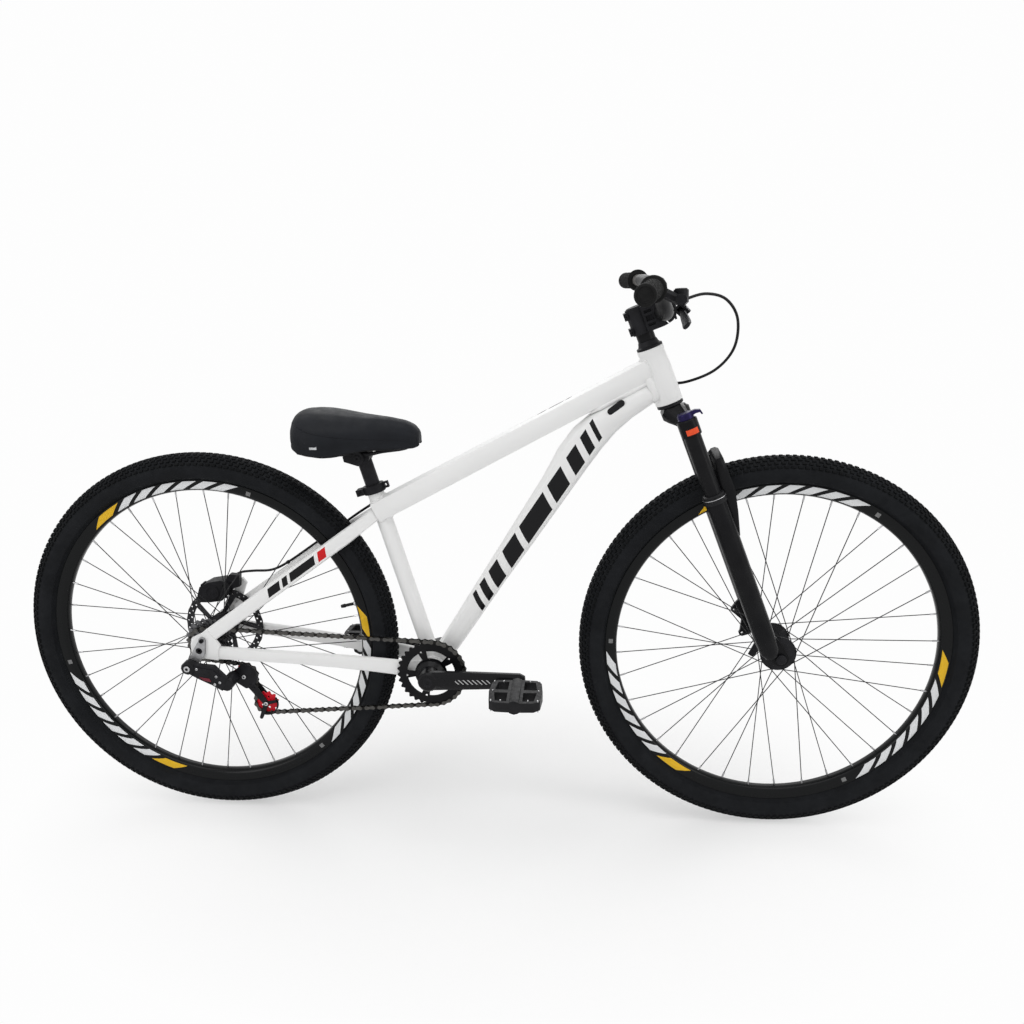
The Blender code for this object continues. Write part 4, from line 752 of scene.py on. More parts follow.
def dress_frame():
    span = HEAD_HIGH - HEAD_LOW
    profile = [(0, 17.5), (0.6, HEAD_TUBE_FOOT_R - 0.5), (1.2, HEAD_TUBE_FOOT_R), (66, HEAD_TUBE_FOOT_R),
               (82, HEAD_TUBE_R), (span - 9, HEAD_TUBE_R), (span - 6.5, HEAD_TUBE_R + 0.6),
               (span - 0.8, HEAD_TUBE_R + 0.6), (span, HEAD_TUBE_R), (span, 17.5)]
    shell = turned(profile, 72, UP, (0, 0, HEAD_LOW))
    piece("head_tube_shell", shell, STEERING, "frame", "frame", ("head_tube",))
    carried("top_tube", "top", 0.003)
    carried("down_tube", "down", 0.003)
    for node in ("seat_tube", "bottom_bracket_shell"):
        carried(node, "frame")
    at_shell, at_seat = (BOTTOM_BRACKET, LEFT, SHELL_R), (BOTTOM_BRACKET, SEAT_UP, SEAT_TUBE_R)
    for side, _ in SIDES:
        carried(f"chainstay_{side}", "frame", 0.0015)
        carried(f"seatstay_{side}", "stay", 0.0015)
        carried(f"dropout_{side}", "frame", 0.001)
        weld(f"weld_chainstay_{side}", f"chainstay_{side}", *at_shell)
        weld(f"weld_seatstay_{side}", f"seatstay_{side}", *at_seat)
    weld("weld_down_head", "down_tube", STEER_FOOT, STEER_UP, HEAD_TUBE_FOOT_R)
    weld("weld_down_shell", "down_tube", *at_shell)
    weld("weld_top_head", "top_tube", STEER_FOOT, STEER_UP, HEAD_TUBE_R)
    weld("weld_top_seat", "top_tube", *at_seat)
    weld("weld_seat_shell", "seat_tube", *at_shell)
    for side, sign in SIDES:
        crease = smooth_path([(x, sign * y, z) for x, y, z in FILLET_CREASE], 3.0)
        radii = [FILLET_R * min(1.0, 0.1 + index / 9) for index in range(len(crease))]
        piece(f"weld_top_down_{side}", swept(crease, radii, 5), GROUND, "frame", "frame", sharp=0)
        corner = [(-20, sign * 17.5, HEAD_LOW + high) for high in (12, 15, 20, 34, 48, 56)]
        fillet = swept(corner, [2.0, 5.5, 7.5, 7.5, 7.5, 6.0], 5)
        piece(f"weld_corner_{side}", fillet, STEERING, "frame", "frame", sharp=0)
    port_plug()


def port_plug():
    """The oblong rubber plug of the cable port on the down tube's right flank."""
    first, second = PORT_ENDS
    bm = bmesh.new()
    for end in PORT_ENDS:
        rod(bm, end + Vector((0, 3, 0)), end, PORT_R, 24)
    along = (second - first).normalized()
    box = Matrix.Translation((first + second) / 2 + Vector((0, 1.5, 0)))
    box = box @ Vector((along.x, 0, along.z)).to_track_quat("X", "Z").to_matrix().to_4x4()
    bmesh.ops.create_cube(bm, size=1.0, matrix=box @ Matrix.Diagonal((23.0, 3.0, 2 * PORT_R, 1.0)))
    soften(piece("cable_port_plug", bm, GROUND, "frame", "plastic"), 0.0006)


def dress_fittings():
    """Headset cups, bottom bracket, seat clamp, rear axle, hanger."""
    cups = {"lower": [(500.3, 14.6), (500.3, 23.0), (501, 23.6), (505, 23.6), (505.7, 23.0), (505.7, 17.1),
                      (515, 17.1), (515, 14.6)],
            "upper": [(608.3, 17.1), (608.3, 22.6), (608.8, 23.0), (611.6, 23.0), (612.4, 22.2),
                      (613.4, 19.6), (616, 18.2), (620.6, 17.0), (CUP_HIGH, 16.2), (CUP_HIGH, 14.6),
                      (598, 14.6), (598, 17.1)]}
    for name, profile in cups.items():
        piece(f"headset_{name}_cup_turned", turned(profile, 64, UP), STEERING, "frame", "satin",
              (f"headset_{name}_cup",))
    for node, finish, edge in (("bottom_bracket_cartridge", "satin", 0.0003), ("seat_clamp", "satin", 0.0004),
                               ("rear_axle", "satin", 0.0003), ("derailleur_hanger", "alloy", 0.0005)):
        carried(node, finish, edge)
    bolts("seat_clamp_bolt", SEATING, "frame", "satin", ((-26.5, -11.2, 366), RIGHT, 3.2, 3.0, 1.5))
    bolts("hanger_bolt", GROUND, "frame", "satin", ((7, -79.9, 389), RIGHT, 4.2, 3.0, 2.2))


# The fork

def dress_fork():
    carried("fork_crown", "fork", 0.0016)
    carried("fork_lowers", "gloss", 0.0012)
    tube = [(190, 0.5), (190, STANCHION_R), (475, STANCHION_R), (475, 0.5)]
    lip = [(SEAL_HEIGHT - 13, STANCHION_R + 0.6), (SEAL_HEIGHT - 13, 20.8), (SEAL_HEIGHT - 3, 21.0),
           (SEAL_HEIGHT - 2, 20.2), (SEAL_HEIGHT + 2.5, 18.6), (SEAL_HEIGHT + 3.5, 16.4),
           (SEAL_HEIGHT + 3.5, STANCHION_R + 0.4)]
    # A thin bright steel band round each seal under its lip: a painted highlight, the gleam along the seal's edge
    # made as a ring of its own.
    band = [(SEAL_HEIGHT - 4.2, 20.9), (SEAL_HEIGHT - 4.2, 21.35), (SEAL_HEIGHT - 3.2, 21.35),
            (SEAL_HEIGHT - 3.2, 20.9)]
    for side, sign in SIDES:
        centre = (LEG_AHEAD, sign * LEG_SPREAD, 0)
        piece(f"stanchion_{side}_polished", turned(tube, 64, UP, centre), STEERING, "steering", "gloss",
              (f"stanchion_{side}",))
        piece(f"fork_seal_{side}", turned(lip, 64, UP, centre), STEERING, "fork_lowers", "plastic")
        # The painted highlight ring on the seal.
        piece(f"fork_seal_painted_highlight_{side}", turned(band, 64, UP, centre), STEERING, "fork_lowers", "steel")
        bolts(f"fork_foot_bolt_{side}", STEERING, "fork_lowers", "satin",
              ((LEG_AHEAD, sign * LEG_SPREAD, 14), (0, 0, -1), 6.5, 3.5, 3.0))
    carried("lockout_knob", "violet", 0.0008)
    cap = [(CLAMP_HIGH, 0.5), (CLAMP_HIGH, 13.5), (CLAMP_HIGH + 3.5, 13), (CLAMP_HIGH + 4.5, 11),
           (CLAMP_HIGH + 4.5, 0.5)]
    piece("fork_cap_left", turned(cap, 48, UP, (LEG_AHEAD, LEG_SPREAD, 0)), STEERING, "steering", "satin")
    carried("front_skewer", "satin", 0.0004)
    carried("skewer_lever", "satin", 0.0008)


# The cockpit

BAR_PATH = ((42, 0, 660, 15.9), (42, 34, 660, 15.9), (42, 50, 661, 15.0), (42, 72, 671, 13.2),
            (41.5, 100, 690, 12.0), (41, 125, 703.5, 11.4), (39, 155, 709.8, 11.1),
            (29.7, 215, 712.4, 11.1), (9.8, 343, 715.9, 11.1))


def bar_spot(y):
    """The handlebar's centre at a place on its straight outer stretch."""
    a, b = Vector(BAR_PATH[-2][:3]), Vector(BAR_PATH[-1][:3])
    spot = a.lerp(b, (abs(y) - a.y) / (b.y - a.y))
    return Vector((spot.x, spot.y if y > 0 else -spot.y, spot.z))


def dress_cockpit():
    handlebar()
    grips()
    carried("stem", "satin", 0.0012)
    carried("stem_faceplate", "satin", 0.0012)
    spacer = [(622.3, 14.6), (622.3, 15.4), (622.7, 15.8), (635.3, 15.8), (635.7, 15.4), (635.7, 14.6)]
    piece("headset_spacer_turned", turned(spacer, 64, UP), STEERING, "steering", "gloss", ("headset_spacer",))
    cap = [(STEM_HIGH + 0.2, 0.5), (STEM_HIGH + 0.2, 17.5), (STEM_HIGH + 1.8, 17), (STEM_HIGH + 2.4, 15),
           (STEM_HIGH + 2.4, 4.5), (STEM_HIGH + 1.0, 4.0), (STEM_HIGH + 1.0, 0.5)]
    piece("stem_top_cap", turned(cap, 48, UP), STEERING, "steering", "satin")
    ahead, high = BAR_CENTRE
    plate_bolts = [((ahead + 22.2 * cos(radians(angle)), side, high + 22.2 * sin(radians(angle))), AHEAD)
                   for side in (-18, 18) for angle in (52, -52)]
    clamp_bolts = [((-20, -11, low), RIGHT) for low in (STEM_LOW + 8.5, STEM_HIGH - 9.5)]
    bolts("stem_bolts", STEERING, "steering", "satin",
          *((head, axis, 3.4, 3.6, 1.7) for head, axis in plate_bolts + clamp_bolts))
    for side, sign in SIDES:
        inner, outer = sorted((sign * 24.9, sign * 26.4))
        for name, drop in (("upper", 6.5), ("lower", -7.5)):
            rear, fore = STEM_LOW + 23 + drop, high + drop
            ridge = plate([(8, rear + 2), (38, fore + 2.6), (38, fore - 2.6), (8, rear - 2)], inner, outer)
            soften(piece(f"stem_ridge_{name}_{side}", ridge, STEERING, "steering", "satin"), 0.0007)


def handlebar():
    """A bent tube that is thickest in the stem's clamp."""
    stations = [(x, -y, z, r) for x, y, z, r in reversed(BAR_PATH[1:])] + list(BAR_PATH)
    path = smooth_path([station[:3] for station in stations], 8.0)
    radii = []
    for spot in path:
        before = max((s for s in stations if s[1] <= spot.y + 0.01), key=lambda s: s[1])
        after = min((s for s in stations if s[1] >= spot.y - 0.01), key=lambda s: s[1])
        share = 0.0 if before is after else (spot.y - before[1]) / (after[1] - before[1])
        radii.append(before[3] + (after[3] - before[3]) * share)
    piece("handlebar_tube", swept(path, radii, 7), STEERING, "steering", "bar", ("handlebar",), 60)


def grips():
    """Rubber sleeves with a flange, ribs and a hollow end."""
    ribs = bpy.context.scene.bicycle_sizes.ribs
    for side, sign in SIDES:
        inner, outer = bar_spot(sign * 226), bar_spot(sign * 346)
        reach = (outer - inner).length
        profile = [(0, 11.5), (0, 19.6), (0.9, 20.5), (3.6, 20.5), (5.2, 19.2), (6.2, 15.2)]
        pitch = (reach - 18) / ribs
        for index in range(ribs):
            low = 8 + index * pitch
            profile += [(low, 14.7), (low + pitch * 0.22, 15.9), (low + pitch * 0.62, 15.9),
                        (low + pitch * 0.84, 14.7)]
        profile += [(reach - 9, 15.4), (reach - 7.6, 16.0), (reach - 2.2, 16.0), (reach - 0.6, 15.2),
                    (reach, 13.6), (reach, 12.2), (reach - 1.2, 11.6), (reach - 1.2, 8.2), (reach - 0.6, 7.4),
                    (reach - 0.6, 0.4), (reach - 2, 0.4), (reach - 2, 11.5)]
        piece(f"grip_{side}_ribbed", turned(profile, 56, outer - inner, inner), STEERING, "steering", "grip",
              (f"grip_{side}",))


LEVER = local((0.28794, -0.192, 1.03289), (0.74696, -0.09544, -0.65798), LEVER_PIN_UP)


def dress_brake_lever():
    carried("brake_lever_body", "satin", 0.0008)
    carried("brake_lever_blade", "satin", 0.001)
    bolts("lever_bolts", LEVER, "steering", "steel", ((-17.0, 4, 3), (-1, 0, 0), 3.0, 2.6, 1.5),
          ((-17.0, -4, -3), (-1, 0, 0), 3.0, 2.6, 1.5), ((56, 32, 6.0), UP, 3.6, 1.8, 1.9))
    lid = [(0, 0.4), (0, 9.8), (1.6, 9.4), (2.2, 8.2), (2.2, 0.4)]
    piece("reservoir_lid", turned(lid, 40, (-13, 0.5, 14), (31.0, 11.5, 22.0)), LEVER, "steering", "plastic")
    nut = turned([(0, 3.0), (0, 4.8), (9, 4.8), (10, 4.2), (10, 3.0)], 6, LEFT, (44.0, 57.4, 7.3))
    piece("hose_nut", nut, LEVER, "steering", "satin")


# The seat

SADDLE_STATIONS = (
    (199.5, 40, 763, 767, 797),
    (203, 57, 757, 762, 808.5),
    (211, 72, 751, 758, 814.5),
    (226, 79, 746, 755, 817),
    (246, 81.5, 743, 752, 817.5),
    (270, 78, 741, 751, 815.5),
    (298, 66, 744, 751, 811.5),
    (328, 51, 748, 752, 807),
    (358, 39, 748, 752, 803.5),
    (388, 30.5, 747.5, 752, 798.5),
    (410, 26, 748, 752, 791.5),
    (421, 20, 749.5, 754, 783),
    (426, 13, 753, 756, 774),
)


def dress_saddle():
    skin = saddle_cover()
    saddle_edges(skin)
    bm = plate([(0, 0), (13, 0), (13, 6), (0, 6)], -0.5, 0.5)
    bmesh.ops.translate(bm, vec=(243, -81.6, 758), verts=bm.verts)
    piece("saddle_tag", bm, GROUND, "saddle", "tag")
    half = [(226, 33, 747), (246, 27, 742), (268, 23, 737.5), (292, 22, 737), (334, 22, 738),
            (358, 20, 742.5), (388, 12, 745), (400, 5, 746.5)]
    route = [(x, -y, z) for x, y, z in half] + [(402, 0, 747)] + half[::-1]
    piece("saddle_rails_bent", swept(smooth_path(route, 4.0), 3.5, 4), GROUND, "saddle", "satin",
          ("saddle_rails",), 60)
    carried("seatpost", "satin", 0.0008)
    bolts("seatpost_head_bolts", GROUND, "seatpost", "satin",
          *(((314, sign * 28.6, 731), (0, sign, 0), 6.0, 3.0, 2.5) for _, sign in SIDES))


def saddle_cover():
    """The padded top, a crowned skin over the shell; gives its surface, for the seams to lie on."""
    bm = bmesh.new()
    loops = []
    for x, half, edge, middle, top in SADDLE_STATIONS:
        tall = top - edge
        shape = ((0.3, top - 0.02 * tall), (0.6, top - 0.1 * tall), (0.86, top - 0.29 * tall),
                 (1.0, top - 0.56 * tall), (0.98, top - 0.84 * tall), (0.93, edge + 0.8), (0.88, edge + 1.4),
                 (0.62, edge + 4.5), (0.3, middle + 1))
        right = [(half * share, z) for share, z in shape]
        whole = [(0, top)] + right + [(0, middle)] + [(-y, z) for y, z in reversed(right)]
        verts = [bm.verts.new((x, y, z)) for y, z in whole]
        loops.append([bm.edges.new(pair) for pair in zip(verts, verts[1:] + verts[:1])])
    for first, second in zip(loops, loops[1:]):
        bmesh.ops.bridge_loops(bm, edges=first + second)
    for end in (loops[0], loops[-1]):
        bmesh.ops.contextual_create(bm, geom=end)
    bmesh.ops.recalc_face_normals(bm, faces=bm.faces)
    for _ in range(2):
        bmesh.ops.subdivide_edges(bm, edges=bm.edges, cuts=1, use_grid_fill=True, smooth=1.0)
    for _ in range(3):
        bmesh.ops.smooth_vert(bm, verts=bm.verts, factor=0.35, use_axis_x=True, use_axis_y=True,
                              use_axis_z=True)
    skin = BVHTree.FromBMesh(bm)
    cover = piece("saddle_cover", bm, GROUND, "saddle", "vinyl", ("saddle",), 0)
    return skin


def saddle_edges(skin):
    """The piped seam and the lower edge of each side, laid on the cover."""
    def on_skin(points, lift):
        found = []
        for spot in smooth_path(points, 3.0):
            place, normal, _, _ = skin.find_nearest(spot)
            found.append(place + normal * lift)
        return found

    for side, sign in SIDES:
        seam = on_skin([(205, sign * 50, 800), (222, sign * 74, 798), (250, sign * 80, 786),
                        (300, sign * 64, 775), (360, sign * 38, 768), (410, sign * 25, 764)], 0.2)
        piece(f"saddle_seam_{side}", swept(seam, 0.55, 2), GROUND, "saddle", "vinyl", sharp=60)
        lip = on_skin([(204, sign * 48, 758), (222, sign * 74, 748), (250, sign * 77, 744),
                       (290, sign * 66, 743), (330, sign * 48, 745), (380, sign * 30, 748),
                       (415, sign * 21, 752)], 0.1)
        piece(f"saddle_edge_{side}", swept(lip, 1.1, 3), GROUND, "saddle", "plastic", sharp=60)


# The wheels

FLANGES = {"front": (-33, 33, 31.5), "rear": (-23, 33, 28.5)}
HUBS = {
    "front": [(-49.7, 3), (-49.7, 8), (-40, 8), (-38, 13), (-37, 16), (-35.2, 32), (-34.4, 33), (-32, 33),
              (-31.2, 32), (-28, 18), (-22, 14.5), (22, 14.5), (28, 18), (31.2, 32), (32, 33), (34.4, 33),
              (35.2, 32), (37, 16), (38, 13), (40, 8), (49.7, 8), (49.7, 3)],
    "rear": [(-67.2, 6.3), (-67.2, 8.5), (-24.6, 8.5), (-24.6, 29.2), (-24, 30), (-22, 30), (-21.2, 29),
             (-18, 17), (-12, 14.5), (22, 14.5), (28, 17), (31.2, 29), (32, 30), (34, 30), (34.8, 29),
             (37, 19), (50.7, 19), (50.7, 13.5), (54, 13.5), (54, 8.5), (67.2, 8.5), (67.2, 6.3)],
}
SPOKE_PHASE = {"front": 3.5, "rear": 19.0}
VALVE_ANGLE = {"front": 108.5, "rear": 14.0}
# Each row's place round the tyre's section in degrees, a knob's length, width and height, and
# how far the row is shifted along the tyre as a share of the knobs' spacing
KNOB_ROWS = ((0, 7.6, 5.6, 2.6, 0.0), (16, 7.0, 5.4, 2.6, 0.12), (32, 8.2, 5.4, 2.6, 0.56),
             (48, 7.2, 5.4, 3.0, 0.12), (64, 8.4, 4.6, 3.0, 0.56))


def tyre(name, place):
    """A round casing with rows of small knobs, standing inside the CAD's outline."""
    knobs = bpy.context.scene.bicycle_sizes.knobs
    middle, half_width, half_height = 338.2, 26.2, 27.0
    sunk = 0.4
    outer = []
    for index in range(33):
        angle = radians(-124 + 248 * index / 32)
        outer.append((half_width * sin(angle), middle + half_height * cos(angle)))
    sidewall = [(-11.0, 310.0), (-11.4, 317.0), (-14.0, 319.0)]
    closing = [(14.0, 319.0), (11.4, 317.0), (11.0, 310.0), (8.6, 309.5), (15.5, 330.0), (0.0, 352.0),
               (-15.5, 330.0), (-8.6, 309.5)]
    piece(f"{name}_tyre_casing", turned(sidewall + outer + closing, 144), place, f"{name}_wheel", "tyre",
          (f"{name}_tyre",), 30)
    bm = bmesh.new()
    for section_angle, long, wide, high, shift in KNOB_ROWS:
        for side in ((1,) if section_angle == 0 else (-1, 1)):
            lean = radians(section_angle * side)
            aside, out = (half_width - sunk) * sin(lean), middle + (half_height - sunk) * cos(lean)
            foot = Matrix.Translation((0, aside, out)) @ Matrix.Rotation(-lean, 4, "X")
            turn = Matrix.Rotation(2 * pi * shift / knobs, 4, "Y")
            shape = Matrix.Translation((0, 0, high / 2)) @ Matrix.Diagonal((long, wide, high, 1))
            made = bmesh.ops.create_cube(bm, size=1.0, matrix=shape)["verts"]
            top = [vert for vert in made if vert.co.z > high * 0.5]
            bmesh.ops.scale(bm, vec=(0.8, 0.8, 1.0), verts=top)
            bmesh.ops.transform(bm, matrix=turn @ foot, verts=made)
    bmesh.ops.spin(bm, geom=bm.verts[:] + bm.edges[:] + bm.faces[:], cent=(0, 0, 0), axis=LEFT,
                   dvec=(0, 0, 0), angle=2 * pi * (knobs - 1) / knobs, steps=knobs - 1, use_duplicate=True)
    # The knobs wear the darker knob rubber, painted shade against the lighter casing.
    piece(f"{name}_tyre_knobs", bm, place, f"{name}_wheel", "knobs", sharp=30)


def rim(name, place):
    profile = [(-RIM_HALF, RIM_OUTER), (-13.4, 307.0), (-12.4, 301.5), (-9.0, 298.0), (-5.5, RIM_INNER + 0.3),
               (0.0, RIM_INNER), (5.5, RIM_INNER + 0.3), (9.0, 298.0), (12.4, 301.5), (13.4, 307.0),
               (RIM_HALF, RIM_OUTER), (12.0, RIM_OUTER), (11.2, 302.0), (-11.2, 302.0), (-12.0, RIM_OUTER)]
    piece(f"{name}_rim_rolled", turned(profile, 144), place, f"{name}_wheel", f"{name}_rim",
          (f"{name}_rim",), 50)
    angle = radians(VALVE_ANGLE[name])
    out = Vector((cos(angle), 0, sin(angle)))
    bm = bmesh.new()
    rod(bm, out * 297, out * 274, 3.0, 16)
    rod(bm, out * 274, out * 266, 3.9, 16, 3.2)
    piece(f"{name}_valve", bm, place, f"{name}_wheel", "plastic")
    bm = bmesh.new()
    rod(bm, out * 297, out * 293, 5.0, 16)
    piece(f"{name}_valve_nut", bm, place, f"{name}_wheel", "steel")


def spokes(name, place):
    """Thirty-six wires laced three-cross, each with its nipple and its bent head in the flange."""
    wire_r = bpy.context.scene.bicycle_sizes.spoke / MM
    right, left, flange_r = FLANGES[name]
    wires, nipples = bmesh.new(), bmesh.new()
    for index in range(SPOKES):
        flange, outside = ((right, -1), (left, 1))[index % 2]
        lead = 1 if index % 4 < 2 else -1
        rim_angle = radians(360 / SPOKES * index + SPOKE_PHASE[name])
        hub_angle = rim_angle + radians(60 * lead)
        beside = 2.6 * lead
        start = Vector((flange_r * cos(hub_angle), flange + beside, flange_r * sin(hub_angle)))
        end = Vector(((RIM_INNER + 1) * cos(rim_angle), 3 * outside, (RIM_INNER + 1) * sin(rim_angle)))
        along = (end - start).normalized()
        rod(wires, start, end - along * 8, wire_r, 8)
        rod(wires, start, Vector((start.x, flange - beside, start.z)), wire_r * 1.1, 8)
        rod(nipples, end - along * 12, end, 1.75, 8)
    piece(f"{name}_spoke_wires", wires, place, f"{name}_wheel", "spoke", (f"{name}_spokes",), 40)
    piece(f"{name}_nipples", nipples, place, f"{name}_wheel", "steel")
    piece(f"{name}_hub_turned", turned(HUBS[name], 64), place, f"{name}_wheel", "satin", (f"{name}_hub",))


def rotor():
    """A wavy disc with rows of slots, five arms and its bolts."""
    low, high = 51.1, 52.9
    waves = 24
    outline = []
    for index in range(waves * 8):
        angle = 2 * pi * index / (waves * 8)
        radius = 79.6 - 0.9 * (1 + cos(waves * angle)) / 2
        outline.append((radius * cos(angle), radius * sin(angle)))
    holes = [ring((0, 0), 14.6, 40)]
    for middle in range(0, 360, 72):
        holes.append(arc((0, 0), 65.5, middle + 3, middle + 65, 12)
                     + arc((0, 0), 28, middle + 79, middle + 26, 8))
    for index in range(30):
        for radius, shift in ((69.5, 0.0), (75.5, 6.0)):
            holes.append(ring(polar(radius, 12 * index + shift), 1.9, 8))
    disc = plate(outline, low, high, holes)
    piece("brake_rotor_vented", disc, REAR, "rear_wheel", "rotor", ("brake_rotor",))
    spots = [polar(21.5, 60 * index + 20) for index in range(6)]
    bolts("rotor_bolts", REAR, "rear_wheel", "steel",
          *(((x, high, z), LEFT, 3.2, 1.6, 1.5) for x, z in spots))


def dress_wheels():
    for name, place in (("front", FRONT), ("rear", REAR)):
        tyre(name, place)
        rim(name, place)
        spokes(name, place)
    rotor()


# The drive

def pitch_radius(teeth):
    return CHAIN_PITCH / (2 * sin(pi / teeth))


def toothed(teeth, tip, root, valley=0.0, steps=8):
    """A sprocket's outline: rounded teeth between two radii, with a valley at an angle."""
    points = []
    for index in range(teeth * steps):
        angle = 2 * pi * index / (teeth * steps)
        rise = 0.5 - 0.5 * cos(2 * pi * index / steps)
        radius = root + (tip - root) * rise
        points.append((radius * cos(angle + valley), radius * sin(angle + valley)))
    return points


def valley_at(point, teeth):
    """Where a wheel of the drive needs a valley, so that the chain's rollers lie between its teeth."""
    centre = from_axle(point)
    radius = pitch_radius(teeth)
    pins = [pin for pin in chain_pins() if abs(hypot(pin.x - centre[0], pin.z - centre[1]) - radius) < 0.4]
    if not pins:
        raise ValueError("the chain doesn't lie on the wheel")
    middle = pins[len(pins) // 2]
    return atan2(middle.z - centre[1], middle.x - centre[0])


def from_axle(point):
    """A world point's place in the drive's plane, in millimetres from the ground under the rear axle."""
    return (point.x - REAR_AXLE.x) / MM, point.z / MM


def tangent(first, first_turn, second, second_turn):
    """Where a belt leaves one wheel and meets the next; a turn is a radius, negative when clockwise."""
    gap = (second[0] - first[0], second[1] - first[1])
    heading = atan2(gap[1], gap[0]) - asin((second_turn - first_turn) / hypot(*gap))
    normal = (-sin(heading), cos(heading))
    return ((first[0] - first_turn * normal[0], first[1] - first_turn * normal[1]),
            (second[0] - second_turn * normal[0], second[1] - second_turn * normal[1]))


def chain_route():
    """Close points along the chain's pitch line, once round."""
    wheels = ((from_axle(BOTTOM_BRACKET), -pitch_radius(RING_TEETH)),
              (from_axle(LOWER_PULLEY), -pitch_radius(JOCKEY_TEETH)),
              (from_axle(UPPER_PULLEY), pitch_radius(JOCKEY_TEETH)),
              (from_axle(REAR_AXLE), -pitch_radius(SPROCKET_TEETH)))
    route = []
    for index, (centre, turn) in enumerate(wheels):
        before, after = wheels[index - 1], wheels[(index + 1) % len(wheels)]
        arrive = tangent(*before, centre, turn)[1]
        leave = tangent(centre, turn, *after)[0]
        first = atan2(arrive[1] - centre[1], arrive[0] - centre[0])
        last = atan2(leave[1] - centre[1], leave[0] - centre[0])
        if turn < 0 and last > first:
            last -= 2 * pi
        if turn > 0 and last < first:
            last += 2 * pi
        count = 60
        for step in range(count):
            angle = first + (last - first) * step / (count - 1)
            route.append(Vector((centre[0] + abs(turn) * cos(angle), 0, centre[1] + abs(turn) * sin(angle))))
    return route


def chain_pins():
    """The pins' places along the pitch line, an even number at almost the true pitch."""
    route = chain_route()
    route.append(route[0])
    lengths = [(b - a).length for a, b in zip(route, route[1:])]
    links = 2 * round(sum(lengths) / CHAIN_PITCH / 2)
    pitch = sum(lengths) / links
    pins, left = [], 0.0
    for (a, b), length in zip(zip(route, route[1:]), lengths):
        while left < length and len(pins) < links:
            pins.append(a.lerp(b, left / length))
            left += pitch
        left -= length
    return pins


def chain():
    """Links along the pitch line: outer plates with pins and inner ones with rollers, by turns."""
    joints = chain_pins()
    end_r, waist = 3.9, 2.1
    outer, inner = bmesh.new(), bmesh.new()
    for index, (first, second) in enumerate(zip(joints, joints[1:] + joints[:1])):
        along = (second - first).normalized()
        heading = atan2(along.z, along.x)
        links, far, near = (outer, 3.6, 2.7) if index % 2 else (inner, 2.6, 1.8)
        outline = []
        for spot, start, side in ((second, -90, 1), (first, 90, -1)):
            for step in range(7):
                angle = heading + radians(start + 30 * step)
                outline.append((spot.x + end_r * cos(angle), spot.z + end_r * sin(angle)))
            middle = (first + second) / 2
            outline.append((middle.x - waist * side * along.z, middle.z + waist * side * along.x))
        for side in (-1, 1):
            low, high = sorted((side * near, side * far))
            link = bmesh.new()
            face = link.faces.new([link.verts.new((x, low - CHAIN_LINE, z)) for x, z in outline])
            grown = bmesh.ops.extrude_face_region(link, geom=[face])["geom"]
            raised = [part for part in grown if isinstance(part, bmesh.types.BMVert)]
            bmesh.ops.translate(link, vec=(0, high - low, 0), verts=raised)
            join(links, link)
        for pins, half, radius in ((inner, 1.8, 3.6), (outer, 3.9, 1.8)):
            right, left = Vector((0, -CHAIN_LINE - half, 0)), Vector((0, -CHAIN_LINE + half, 0))
            rod(pins, first + right, first + left, radius, 10)
    piece("chain_outer_links", outer, GROUND, "frame", "chain", ("chain",))
    piece("chain_inner_links", inner, GROUND, "frame", "chain_core")


def dress_drive():
    chain()
    chainring()
    carried("crank_spindle", "steel", 0.0003)
    for side, _ in SIDES:
        carried(f"crank_{side}", "crank", 0.0018)
        carried(f"pedal_axle_{side}", "steel", 0.0003)
    bolts("crank_bolts", CRANKING, "crankset", "satin",
          *(((0, sign * (ARM_Y + 9.6), 0), (0, sign, 0), 9.0, 1.4, 4.0) for _, sign in SIDES))
    cassette()
    dress_pedals()
    dress_derailleur()


def drive_wheel(teeth, holes, valley, foot=TOOTH_FOOT, tip=0.8, steps=8):
    """A toothed plate on the chain's line, its teeth from below to above the pitch line."""
    radius = pitch_radius(teeth)
    outline = toothed(teeth, radius + tip, radius - foot, valley, steps)
    return plate(outline, -CHAIN_LINE - 1.1, -CHAIN_LINE + 1.1, holes)


def chainring():
    """A toothed ring with five windows and a bolt hole beside each."""
    holes = [ring((0, 0), 13.3, 40)]
    for middle in range(71, 431, 72):
        holes.append(arc((0, 0), 46, middle - 26, middle + 26, 10)
                     + arc((0, 0), 31, middle + 26, middle - 26, 8))
        holes.append(ring(polar(46.5, middle + 38.8), 2.2, 12))
    bm = drive_wheel(RING_TEETH, holes, valley_at(BOTTOM_BRACKET, RING_TEETH) - radians(CRANK_ANGLE))
    soften(piece("chainring_toothed", bm, CRANKING, "crankset", "gloss", ("chainring",)), 0.0004)


COGS = ((23, -28.8), (21, -32.6), (19, -36.4), (18, -40.2), (SPROCKET_TEETH, -CHAIN_LINE), (14, -49.4),
        (12, -53.2), (11, -57.0))


def cassette():
    """The driven cog with the larger and smaller ones beside it, on their carrier."""
    bm = bmesh.new()
    for teeth, place in COGS:
        root = pitch_radius(teeth) - TOOTH_FOOT
        valley = valley_at(REAR_AXLE, teeth) if teeth == SPROCKET_TEETH else 0.0
        holes = [ring((0, 0), 15.0, 24)]
        if teeth > 20:
            for middle in range(0, 360, 60):
                holes.append(arc((0, 0), root - 3.5, middle - 20, middle + 20, 6)
                             + arc((0, 0), 20.5, middle + 16, middle - 16, 5))
        join(bm, plate(toothed(teeth, root + 4.4, root, valley), place - 0.9, place + 0.9, holes))
    join(bm, turned([(-60, 8.9), (-60, 16.2), (-58.8, 17.4), (-28, 17.4), (-28, 8.9)], 48))
    piece("rear_cogs", bm, REAR, "sprocket", "cogs", ("rear_sprocket",))


